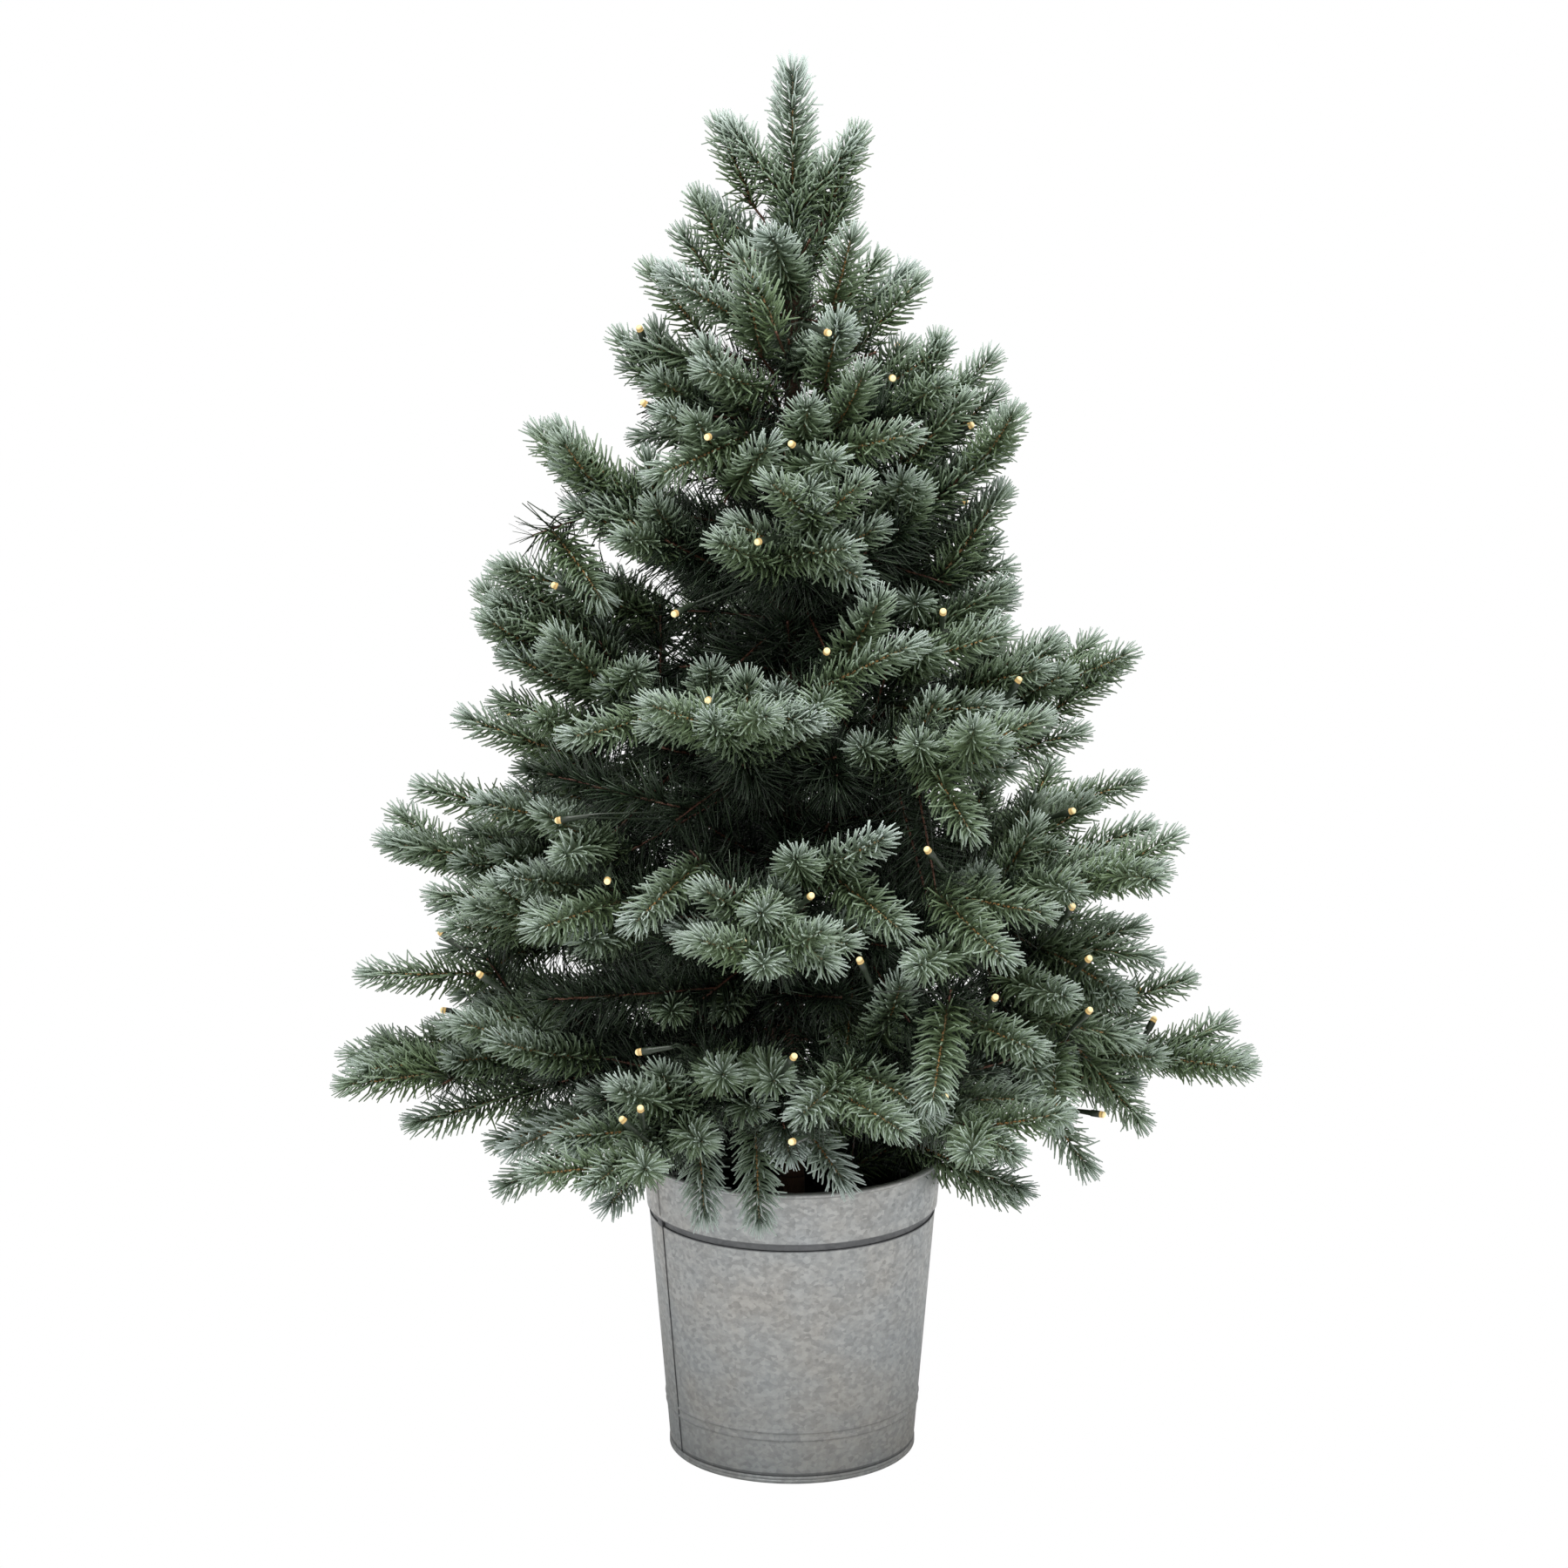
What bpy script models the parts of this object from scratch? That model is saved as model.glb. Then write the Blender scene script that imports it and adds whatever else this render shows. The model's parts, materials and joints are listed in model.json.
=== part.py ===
"""Artificial tabletop fir in a galvanised bucket, with a battery box for its lamps.

The origin is on the floor, on the trunk's axis. +Z is up and -Y is the front.
"""

import math

import bmesh
import bpy
from mathutils import Matrix, Vector

# Overall sizes, in metres
TREE_HEIGHT = 0.900
TREE_WIDTH = 0.584

# Bucket
BUCKET_HEIGHT = 0.200
RIM_RADIUS = 0.0959  # of the wall at the rim, without the rolled bead
FOOT_RADIUS = 0.0795  # of the wall at the floor
SHEET = 0.0010
BEAD_RADIUS = 0.0020
COLLAR_STEP = 0.0010  # the wall above the groove stands this much further out
GROOVE_DROP = 0.0376  # from the rim to the groove's middle
GROOVE_HEIGHT = 0.0045
GROOVE_DEPTH = 0.0012
RIB_HEIGHT_FROM_FLOOR = 0.033
RIB_WIDTH = 0.006
RIB_DEPTH = 0.0008
FOOT_RING_HEIGHT = 0.0052
FOOT_RING_WIDTH = 0.0040
FOOT_RING_STANDS_OUT = 0.0008
BASE_SHEET = 0.0015
BASE_RAISED = 0.0070

# Pot of cement that weighs the tree down
POT_WALL = 0.0012
WEIGHT_HEIGHT = 0.050

# Trunk
TRUNK_FOOT_RADIUS = 0.0090
TRUNK_TOP_RADIUS = 0.0045
LEADER_ABOVE_TOP_TIER = 0.040
TRUNK_INTO_LEADER = 0.075
LEADER_OVER_TRUNK = 0.0065

# Branches
WIRE_RADIUS = 0.0016
ROOT_RADIUS = 0.0020  # rounded root that turns in its slot
ROOT_OUT = 0.0058  # from the trunk's surface to the point where the branch bends
BINDING_HEIGHT = 0.012
BINDING_OUTSIDE_ROOT = 0.0030
SLOT_CLEARANCE = 0.0006
SPRIG_RADIUS = 0.0043
WIRE_TIP_INSET = 0.045
BORE_CLEARANCE = 0.0004
SIDE_STAGGER = 0.011
SPINE_START = 0.30  # shares of a branch's length, as are the next two
FIRST_SPRIG = 0.36  # the side sprigs start between this and LAST_SPRIG
LAST_SPRIG = 0.76
SPINE_TAPER_IN = 0.012
SPINE_TAPER_OUT = 0.020
SIDE_LENGTH = 0.084
TOP_LENGTH = 0.066
LOWEST_TIER = 0.080  # above the rim

# Share of the height from the lowest tier to the tree's tip, then for each branch the azimuth in
# degrees, the reach as a share of half the tree's width, and the rise in degrees.
TIERS = [
    (
        0.000,
        [
            (-4, 1.012, -4),
            (-60, 0.930, -3),
            (-117, 0.930, -8),
            (184, 0.988, -5),
            (122, 0.930, 0),
            (60, 0.950, 2),
        ],
    ),
    (0.113, [(-24, 0.88, 14), (-94, 0.92, 10), (170, 0.93, 9), (104, 0.92, 10), (38, 0.90, 12)]),
    (0.266, [(6, 0.70, 20), (-52, 0.72, 16), (-104, 0.72, 22), (177, 0.68, 28), (95, 0.75, 22)]),
    (0.452, [(-12, 0.48, 40), (184, 0.52, 33), (-84, 0.46, 34), (88, 0.50, 36)]),
    (0.605, [(172, 0.38, 29), (-2, 0.40, 24)]),
]

# Side sprigs of the leader: start as a share of its height, azimuth, rise and length
LEADER_SPRIGS = [
    (0.53, 186, 55, 0.075),
    (0.50, -8, 53, 0.072),
    (0.31, 150, 42, 0.088),
    (0.34, 30, 50, 0.072),
    (0.10, 208, 30, 0.112),
    (0.07, 30, 28, 0.108),
    (0.04, -66, 25, 0.092),
    (0.27, -104, 44, 0.080),
    (0.14, 98, 34, 0.100),
    (0.40, 78, 50, 0.076),
]

# Battery box for three AA cells
CELL_RADIUS = 0.00725
CELL_LENGTH = 0.0505
CELL_GAP = 0.0004
CONTACT_ROOM = 0.0042
CONTACT_SHEET = 0.0006
CONTACT_WIDTH = 0.0107
SPRING_FOOT_RADIUS = 0.0035
SPRING_TIP_RADIUS = 0.0018
CASE_WALL = 0.0022
CASE_BACK = 0.0016
COVER_SHEET = 0.0016
COVER_CLEARANCE = 0.0003
COVER_GROOVE = 0.0012
LIP = 0.0012
GRIP_ROWS = 3
GRIP_WIDTH = 0.0200
GRIP_HEIGHT = 0.0015
GRIP_STEP = 0.0040
GRIP_DROP = 0.0112  # from the case's top to the first grip
CASE_FROM_POT = 0.0038  # from the case's back corners to the pot's wall
SWITCH_SIZE = (0.0060, 0.0040, 0.0020)
SWITCH_STEM = (0.0024, 0.0020)
SWITCH_TRAVEL = 0.0040
LEAD_RADIUS = 0.0011
LEAD_CLEARANCE = 0.0012  # from the widest binding
LEAD_AZIMUTH = 147
LEAD_BELOW_LEADER = 0.012
# Route of the lead: steps from the case's side, then (further out than its run up the trunk, height)
LEAD_FROM_CASE = [
    (0.000, 0.000, 0.040),
    (-0.004, -0.001, 0.041),
    (-0.008, -0.006, 0.044),
    (-0.008, -0.018, 0.050),
    (-0.003, -0.032, 0.060),
]
LEAD_TO_TRUNK = [(0.010, 0.074), (0.002, 0.090), (0.000, 0.105)]

GAP = 0.0003
BEYOND = 0.010  # how far a cutter reaches past what it cuts
ROUND = 40  # segments of the large turned pieces

LOWEST_TIER_Z = BUCKET_HEIGHT + LOWEST_TIER
POT_FLOOR_Z = BASE_RAISED + BASE_SHEET + GAP
WEIGHT_BOTTOM_Z = POT_FLOOR_Z + POT_WALL + GAP
WEIGHT_TOP_Z = WEIGHT_BOTTOM_Z + WEIGHT_HEIGHT
LEADER_START_Z = LOWEST_TIER_Z + TIERS[-1][0] * (TREE_HEIGHT - LOWEST_TIER_Z) + LEADER_ABOVE_TOP_TIER
TRUNK_TOP_Z = LEADER_START_Z + TRUNK_INTO_LEADER

for old in list(bpy.data.objects):
    bpy.data.objects.remove(old, do_unlink=True)

parts = bpy.data.collections.new("tabletop_tree")
cutters = bpy.data.collections.new("cutters")
bpy.context.scene.collection.children.link(parts)
bpy.context.scene.collection.children.link(cutters)


def material(name, color, roughness, metallic=0.0):
    made = bpy.data.materials.new(name)
    made.use_nodes = True
    shader = made.node_tree.nodes["Principled BSDF"]
    shader.inputs["Base Color"].default_value = (*color, 1)
    shader.inputs["Roughness"].default_value = roughness
    shader.inputs["Metallic"].default_value = metallic
    return made


GALVANISED = material("galvanised_steel", (0.36, 0.37, 0.37), 0.45, 0.9)
BLACK_PLASTIC = material("black_plastic", (0.02, 0.02, 0.02), 0.5)
CEMENT = material("cement", (0.32, 0.31, 0.29), 0.9)
BROWN_TAPE = material("brown_tape", (0.10, 0.06, 0.04), 0.8)
FROSTED_GREEN = material("frosted_green", (0.20, 0.32, 0.24), 0.6)
GREEN_WIRE = material("green_wire", (0.04, 0.07, 0.04), 0.4)
CORE_WIRE = material("core_wire", (0.16, 0.09, 0.06), 0.5, 0.4)
GREEN_PLASTIC = material("green_plastic", (0.03, 0.09, 0.05), 0.5)
NICKEL = material("nickel", (0.6, 0.58, 0.54), 0.3, 1.0)
CELL_SLEEVE = material("cell_sleeve", (0.05, 0.05, 0.06), 0.35)


def place(obj, name, look, collection=parts):
    """Names the object, gives it its material and puts it in its collection alone."""
    obj.name = name
    for old in list(obj.users_collection):
        old.objects.unlink(obj)
    collection.objects.link(obj)
    if look:
        obj.data.materials.append(look)
    if collection == cutters:
        obj.hide_render = True
        obj.display_type = "WIRE"
    return obj


def smooth(obj):
    obj.data.shade_smooth()
    obj.data.set_sharp_from_angle(angle=math.radians(40))


def block(name, size, at, look=None, collection=parts, parent=None):
    bpy.ops.mesh.primitive_cube_add(size=1, location=(0, 0, 0))
    obj = bpy.context.object
    obj.data.transform(Matrix.Diagonal((*size, 1)))
    place(obj, name, look, collection)
    obj.location = at
    obj.parent = parent
    return obj


def lathe(name, profile, look, steps=ROUND, closed=False):
    """Turned piece: the profile, (radius, height) points down its outer side, swept about Z."""
    mesh = bpy.data.meshes.new(name)
    mesh.from_pydata(
        [(radius, 0, height) for radius, height in profile],
        [(i, i + 1) for i in range(len(profile) - 1)] + ([(len(profile) - 1, 0)] if closed else []),
        [],
    )
    obj = bpy.data.objects.new(name, mesh)
    parts.objects.link(obj)
    mesh.materials.append(look)
    screw = obj.modifiers.new("turn", "SCREW")
    screw.steps = screw.render_steps = steps
    screw.use_merge_vertices = True
    screw.merge_threshold = 0.00001
    screw.use_smooth_shade = True
    return obj


def boolean(obj, other, operation="DIFFERENCE"):
    cut = obj.modifiers.new(other.name, "BOOLEAN")
    cut.operation = operation
    cut.object = other
    cut.solver = "EXACT"


def tubes(name, runs, look, depth, resolution=1, collection=parts, parent=None):
    """One curve object with a tapered tube for each run, a list of (point, radius share)."""
    curve = bpy.data.curves.new(name, "CURVE")
    curve.dimensions = "3D"
    curve.bevel_depth = depth
    curve.bevel_resolution = resolution
    curve.use_fill_caps = True
    for run in runs:
        spline = curve.splines.new("POLY")
        spline.points.add(len(run) - 1)
        for target, (point, share) in zip(spline.points, run):
            target.co = (*point, 1)
            target.radius = share
    obj = bpy.data.objects.new(name, curve)
    collection.objects.link(obj)
    if look:
        curve.materials.append(look)
    obj.parent = parent
    return obj


def as_mesh(obj):
    """The curve object made a mesh object with its caps welded."""
    bpy.context.view_layer.update()
    evaluated = obj.evaluated_get(bpy.context.evaluated_depsgraph_get())
    mesh = bpy.data.meshes.new_from_object(evaluated)
    mesh.name = obj.name
    work = bmesh.new()
    work.from_mesh(mesh)
    bmesh.ops.remove_doubles(work, verts=work.verts, dist=0.00002)
    work.to_mesh(mesh)
    work.free()
    made = bpy.data.objects.new(obj.name + "_mesh", mesh)
    for collection in obj.users_collection:
        collection.objects.link(made)
    made.parent = obj.parent
    made.matrix_local = obj.matrix_local
    name = obj.name
    bpy.data.objects.remove(obj)
    made.name = name
    if cutters in made.users_collection:
        made.hide_render = True
        made.display_type = "WIRE"
    return made


def wall_radius(height):
    """Outer radius of the bucket's plain wall at this height."""
    return FOOT_RADIUS + (RIM_RADIUS - FOOT_RADIUS) * height / BUCKET_HEIGHT


def trunk_radius(height):
    share = (height - WEIGHT_BOTTOM_Z) / (TRUNK_TOP_Z - WEIGHT_BOTTOM_Z)
    return TRUNK_FOOT_RADIUS + (TRUNK_TOP_RADIUS - TRUNK_FOOT_RADIUS) * share


def root_radius(height):
    """Distance from the trunk's axis to the point where a branch bends."""
    return trunk_radius(height) + ROOT_OUT


def tier_height(share):
    return LOWEST_TIER_Z + share * (TREE_HEIGHT - LOWEST_TIER_Z)


def around(azimuth, radius, height):
    angle = math.radians(azimuth)
    return Vector((radius * math.cos(angle), radius * math.sin(angle), height))


# --- Bucket -------------------------------------------------------------------------------------

groove_z = BUCKET_HEIGHT - GROOVE_DROP
wall_foot_z = FOOT_RING_HEIGHT + GAP


def wall_profile():
    bead = (wall_radius(BUCKET_HEIGHT) + COLLAR_STEP - BEAD_RADIUS / 3, BUCKET_HEIGHT - BEAD_RADIUS)
    points = []
    for degrees in (90, 45, 0, -45, -90):
        angle = math.radians(degrees)
        points.append((bead[0] + BEAD_RADIUS * math.cos(angle), bead[1] + BEAD_RADIUS * math.sin(angle)))
    top = groove_z + GROOVE_HEIGHT / 2
    bottom = groove_z - GROOVE_HEIGHT / 2
    points.append((wall_radius(top) + COLLAR_STEP, top))
    points.append((wall_radius(top) - GROOVE_DEPTH, top - GROOVE_DEPTH / 2))
    points.append((wall_radius(bottom) - GROOVE_DEPTH, bottom + GROOVE_DEPTH / 2))
    points.append((wall_radius(bottom), bottom))
    for step, out in ((RIB_WIDTH / 2, 0), (0, RIB_DEPTH), (-RIB_WIDTH / 2, 0)):
        height = RIB_HEIGHT_FROM_FLOOR + step
        points.append((wall_radius(height) + out, height))
    points.append((wall_radius(wall_foot_z), wall_foot_z))
    # Up the inner side
    points.append((wall_radius(wall_foot_z) - SHEET, wall_foot_z))
    points.append((wall_radius(bottom) - SHEET, bottom - SHEET / 2))
    points.append((wall_radius(bottom) - GROOVE_DEPTH - SHEET, bottom + GROOVE_DEPTH / 2))
    points.append((wall_radius(top) - GROOVE_DEPTH - SHEET, top - GROOVE_DEPTH / 2))
    points.append((wall_radius(top) + COLLAR_STEP - SHEET, top + SHEET / 2))
    points.append((bead[0] - SHEET, BUCKET_HEIGHT - BEAD_RADIUS))
    return points


bucket_wall = lathe("bucket_wall", wall_profile(), GALVANISED, closed=True)

foot_radius = FOOT_RADIUS + FOOT_RING_STANDS_OUT
inside_wall = wall_radius(wall_foot_z) - SHEET - GAP
bucket_base = lathe(
    "bucket_base",
    [
        (0, BASE_RAISED + BASE_SHEET),
        (inside_wall, BASE_RAISED + BASE_SHEET),
        (inside_wall, FOOT_RING_HEIGHT),
        (foot_radius, FOOT_RING_HEIGHT),
        (foot_radius, 0),
        (foot_radius - FOOT_RING_WIDTH, 0),
        (foot_radius - FOOT_RING_WIDTH, BASE_RAISED),
        (0, BASE_RAISED),
    ],
    GALVANISED,
)

# --- Pot and cement -----------------------------------------------------------------------------


def pot_radius(height):
    return wall_radius(height) - SHEET - 2 * GAP


pot_top_z = WEIGHT_TOP_Z + 2 * POT_WALL
cement_pot = lathe(
    "cement_pot",
    [
        (pot_radius(pot_top_z), pot_top_z),
        (pot_radius(POT_FLOOR_Z), POT_FLOOR_Z),
        (0, POT_FLOOR_Z),
        (0, POT_FLOOR_Z + POT_WALL),
        (pot_radius(POT_FLOOR_Z) - POT_WALL, POT_FLOOR_Z + POT_WALL),
        (pot_radius(pot_top_z) - POT_WALL, pot_top_z),
    ],
    BLACK_PLASTIC,
    closed=True,
)

socket_radius = TRUNK_FOOT_RADIUS + 2 * GAP
cement_weight = lathe(
    "cement_weight",
    [
        (pot_radius(WEIGHT_TOP_Z) - POT_WALL - GAP, WEIGHT_TOP_Z),
        (pot_radius(WEIGHT_BOTTOM_Z) - POT_WALL - GAP, WEIGHT_BOTTOM_Z),
        (socket_radius, WEIGHT_BOTTOM_Z),
        (socket_radius, WEIGHT_TOP_Z),
    ],
    CEMENT,
    closed=True,
)

# --- Trunk with a slotted binding at each tier ---------------------------------------------------

trunk_profile = [(0, TRUNK_TOP_Z), (TRUNK_TOP_RADIUS, TRUNK_TOP_Z)]
for share, _ in reversed(TIERS):
    height = tier_height(share)
    binding = root_radius(height) + BINDING_OUTSIDE_ROOT
    upper = height + BINDING_HEIGHT / 2
    lower = height - BINDING_HEIGHT / 2
    trunk_profile += [(trunk_radius(upper), upper), (binding, upper)]
    trunk_profile += [(binding, lower), (trunk_radius(lower), lower)]
trunk_profile += [(TRUNK_FOOT_RADIUS, WEIGHT_BOTTOM_Z), (0, WEIGHT_BOTTOM_Z)]
trunk = lathe("trunk", trunk_profile, BROWN_TAPE, steps=16)

slots = bmesh.new()
slot_width = 2 * (ROOT_RADIUS + SLOT_CLEARANCE)
for share, branches in TIERS:
    height = tier_height(share)
    inner = root_radius(height) - ROOT_RADIUS - 2 * SLOT_CLEARANCE
    outer = root_radius(height) + 2 * BINDING_OUTSIDE_ROOT
    for azimuth, _, _ in branches:
        turn = Matrix.Rotation(math.radians(azimuth), 3, "Z")
        cube = bmesh.ops.create_cube(slots, size=1)["verts"]
        bmesh.ops.scale(slots, verts=cube, vec=(outer - inner, slot_width, 2 * BINDING_HEIGHT))
        bmesh.ops.translate(slots, verts=cube, vec=((outer + inner) / 2, 0, height))
        bmesh.ops.rotate(slots, verts=cube, cent=(0, 0, 0), matrix=turn)
slot_mesh = bpy.data.meshes.new("root_slots")
slots.to_mesh(slot_mesh)
slots.free()
root_slots = place(bpy.data.objects.new("root_slots", slot_mesh), "root_slots", None, cutters)
boolean(trunk, root_slots)

# --- Branches ------------------------------------------------------------------------------------


def sprig_run(start, direction, length, tip=0.3):
    """Tapered run of one sprig's stem, from its start to the ends of its tip needles."""
    return [(start, 0.55), (start + direction * length * 0.6, 1.0), (start + direction * length, tip)]


def towards(yaw, lift):
    """Unit vector at these degrees to the left of +X and above the XY plane."""
    yaw, lift = math.radians(yaw), math.radians(lift)
    return Vector((math.cos(lift) * math.cos(yaw), math.cos(lift) * math.sin(yaw), math.sin(lift)))


def side_sprigs(length):
    """(start along the branch, yaw, lift, length) of each sprig beside a branch of this length."""
    pairs = 3 if length > 0.20 else 2 if length > 0.13 else 1
    scale = min(1.0, 0.55 + 0.45 * length / 0.25)
    found = []
    for i in range(pairs):
        along = i / (pairs - 1) if pairs > 1 else 0.15
        start = length * (FIRST_SPRIG + (LAST_SPRIG - FIRST_SPRIG) * along)
        yaw = 50 - 14 * along
        reach = SIDE_LENGTH * scale * (1 - 0.14 * along)
        found.append((start, yaw, 8 + 4 * along, reach))
        found.append((start + SIDE_STAGGER, -yaw, 12 - 4 * along, reach))
    found.append((length * (0.50 if pairs > 1 else 0.64), 6, 44, TOP_LENGTH * scale))
    return found


for tier, (share, branches) in enumerate(TIERS, 1):
    height = tier_height(share)
    for number, (azimuth, reach_share, rise) in enumerate(branches, 1):
        name = f"branch_{tier}{number}"
        pivot = around(azimuth, root_radius(height), height)
        reach = reach_share * TREE_WIDTH / 2 - root_radius(height)
        length = reach / math.cos(math.radians(rise))

        hinge = bpy.data.objects.new(name + "_hinge", None)
        parts.objects.link(hinge)
        hinge.empty_display_size = 0.01
        hinge.location = pivot
        hinge.rotation_euler = (0, -math.radians(rise), math.radians(azimuth))

        out = Vector((1, 0, 0))
        wire_end = length - WIRE_TIP_INSET
        wire = tubes(
            name + "_wire",
            [
                [
                    (out * -ROOT_RADIUS, 0.55),
                    (out * -ROOT_RADIUS * 0.5, ROOT_RADIUS / WIRE_RADIUS),
                    (out * ROOT_RADIUS * 0.5, ROOT_RADIUS / WIRE_RADIUS),
                    (out * ROOT_RADIUS * 1.4, 1.0),
                    (out * wire_end, 1.0),
                ]
            ],
            CORE_WIRE,
            WIRE_RADIUS,
            parent=hinge,
        )

        spine_start = length * SPINE_START
        spine = tubes(
            name + "_foliage",
            [
                [
                    (out * spine_start, 0.75),
                    (out * (spine_start + SPINE_TAPER_IN), 1.0),
                    (out * (length - SPINE_TAPER_OUT), 1.0),
                    (out * length, 0.25),
                ]
            ],
            FROSTED_GREEN,
            SPRIG_RADIUS,
            parent=hinge,
        )
        foliage = as_mesh(spine)
        runs = [
            sprig_run(out * start, towards(yaw, lift), reach_of_sprig)
            for start, yaw, lift, reach_of_sprig in side_sprigs(length)
        ]
        sides = as_mesh(tubes(name + "_sides", runs, None, SPRIG_RADIUS, 0, cutters, hinge))
        bore = as_mesh(
            tubes(
                name + "_bore",
                [[(out * (spine_start - BEYOND), 1.0), (out * (wire_end + BORE_CLEARANCE), 1.0)]],
                None,
                WIRE_RADIUS + BORE_CLEARANCE,
                1,
                cutters,
                hinge,
            )
        )
        boolean(foliage, sides, "UNION")
        boolean(foliage, bore)
        smooth(foliage)

# --- Leader --------------------------------------------------------------------------------------

up = Vector((0, 0, 1))
leader = as_mesh(
    tubes(
        "leader",
        [
            [
                (up * LEADER_START_Z, 1.0),
                (up * (TRUNK_TOP_Z + LEADER_OVER_TRUNK), 1.0),
                (up * (TRUNK_TOP_Z + 3 * LEADER_OVER_TRUNK), 0.5),
                (up * (TREE_HEIGHT - SPINE_TAPER_OUT), 0.5),
                (up * TREE_HEIGHT, 0.12),
            ]
        ],
        FROSTED_GREEN,
        2 * SPRIG_RADIUS,
        resolution=2,
    )
)
leader_runs = []
for share, azimuth, rise, length in LEADER_SPRIGS:
    direction = around(azimuth, math.cos(math.radians(rise)), math.sin(math.radians(rise)))
    start = up * (LEADER_START_Z + share * (TREE_HEIGHT - LEADER_START_Z))
    leader_runs.append(sprig_run(start, direction, length))
boolean(leader, as_mesh(tubes("leader_sides", leader_runs, None, SPRIG_RADIUS, 0, cutters)), "UNION")
trunk_room = [
    (up * (LEADER_START_Z - BEYOND), trunk_radius(LEADER_START_Z - BEYOND) + 2 * BORE_CLEARANCE),
    (up * (TRUNK_TOP_Z + GAP), TRUNK_TOP_RADIUS + 2 * BORE_CLEARANCE),
]
boolean(leader, as_mesh(tubes("leader_bore", [trunk_room], None, 1.0, 3, cutters)))
smooth(leader)

# --- Battery box ---------------------------------------------------------------------------------

cavity = (
    6 * CELL_RADIUS + 4 * CELL_GAP,
    2 * CELL_RADIUS + 2 * CELL_GAP,
    CELL_LENGTH + 2 * CONTACT_ROOM,
)
case_depth = CASE_BACK + cavity[1] + COVER_SHEET + 2 * COVER_CLEARANCE + LIP
case_size = (cavity[0] + 2 * CASE_WALL, case_depth, cavity[2] + 2 * CASE_BACK)
box_origin = bpy.data.objects.new("battery_box", None)
parts.objects.link(box_origin)
pot_inside = pot_radius(WEIGHT_TOP_Z) - POT_WALL
case_back_y = math.sqrt(pot_inside**2 - (case_size[0] / 2) ** 2) - CASE_FROM_POT
box_origin.location = (0, case_back_y - case_depth, WEIGHT_TOP_Z + GAP)
# In the box's frame Y = 0 is its open front, towards the trunk, and Z = 0 its bottom.
cavity_front = LIP + COVER_SHEET + 2 * COVER_CLEARANCE
middle_z = case_size[2] / 2

case = block("battery_case", case_size, (0, case_depth / 2, middle_z), GREEN_PLASTIC, parent=box_origin)
middle_y = cavity_front + cavity[1] / 2
open_height = case_size[2] - CASE_BACK + BEYOND
open_z = CASE_BACK + open_height / 2
channel = COVER_SHEET + 2 * COVER_CLEARANCE + GAP
case_cuts = [
    ("case_cavity", cavity, (0, middle_y, middle_z)),
    ("cover_channel", (cavity[0] + 2 * COVER_GROOVE, channel, open_height), (0, LIP + channel / 2, open_z)),
    ("case_window", (cavity[0], LIP + GAP + BEYOND, open_height), (0, (LIP + GAP - BEYOND) / 2, open_z)),
    (
        "switch_slot",
        (SWITCH_STEM[0] + SWITCH_TRAVEL + 2 * GAP, SWITCH_STEM[1] + 2 * GAP, 4 * CASE_BACK),
        (SWITCH_TRAVEL / 2, middle_y, case_size[2]),
    ),
]
for name, size, at in case_cuts:
    boolean(case, block(name, size, at, collection=cutters, parent=box_origin))

cover_height = case_size[2] - CASE_BACK - COVER_CLEARANCE
cover = block(
    "battery_cover",
    (cavity[0] + 2 * (COVER_GROOVE - COVER_CLEARANCE), COVER_SHEET, cover_height),
    (0, LIP + COVER_CLEARANCE + COVER_SHEET / 2, CASE_BACK + COVER_CLEARANCE + cover_height / 2),
    GREEN_PLASTIC,
    parent=box_origin,
)
for row in range(GRIP_ROWS):
    grip_at = (0, LIP + COVER_CLEARANCE - LIP / 4, case_size[2] - GRIP_DROP - row * GRIP_STEP)
    grip_size = (GRIP_WIDTH, LIP, GRIP_HEIGHT)
    grip = block(f"cover_grip_{row}", grip_size, grip_at, collection=cutters, parent=box_origin)
    boolean(cover, grip, "UNION")

switch = block(
    "switch_slider",
    SWITCH_SIZE,
    (0, middle_y, case_size[2] + GAP + SWITCH_SIZE[2] / 2),
    BLACK_PLASTIC,
    parent=box_origin,
)
stem = block(
    "switch_stem",
    (SWITCH_STEM[0], SWITCH_STEM[1], CASE_BACK + 2 * GAP),
    (0, middle_y, case_size[2] - CASE_BACK / 2 + GAP),
    collection=cutters,
    parent=box_origin,
)
boolean(switch, stem, "UNION")

cell_step = 2 * CELL_RADIUS + CELL_GAP
for side, name in enumerate(("cell_left", "cell_middle", "cell_right"), -1):
    bpy.ops.mesh.primitive_cylinder_add(vertices=24, radius=CELL_RADIUS, depth=CELL_LENGTH)
    cell = place(bpy.context.object, name, CELL_SLEEVE)
    cell.parent = box_origin
    cell.location = (side * cell_step, middle_y, middle_z)
    smooth(cell)

spring_height = CONTACT_ROOM - CONTACT_SHEET - 2 * GAP
for name, end in (("contacts_low", -1), ("contacts_high", 1)):
    plate_z = middle_z + end * (cavity[2] / 2 - GAP - CONTACT_SHEET / 2)
    plate = block(
        name,
        (cavity[0] - 2 * CASE_WALL, CONTACT_WIDTH, CONTACT_SHEET),
        (0, middle_y, plate_z),
        NICKEL,
        parent=box_origin,
    )
    for side in (-1, 0, 1):
        bpy.ops.mesh.primitive_cone_add(
            vertices=12, radius1=SPRING_FOOT_RADIUS, radius2=SPRING_TIP_RADIUS, depth=spring_height
        )
        spring = place(bpy.context.object, f"{name}_spring_{side + 1}", None, cutters)
        spring.parent = box_origin
        spring.rotation_euler = (math.pi if end > 0 else 0, 0, 0)
        spring_z = plate_z - end * spring_height / 2
        spring.location = (side * cell_step, middle_y, spring_z)
        boolean(plate, spring, "UNION")

# --- Lead from the box up the trunk to the branches' lamps ----------------------------------------

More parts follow.
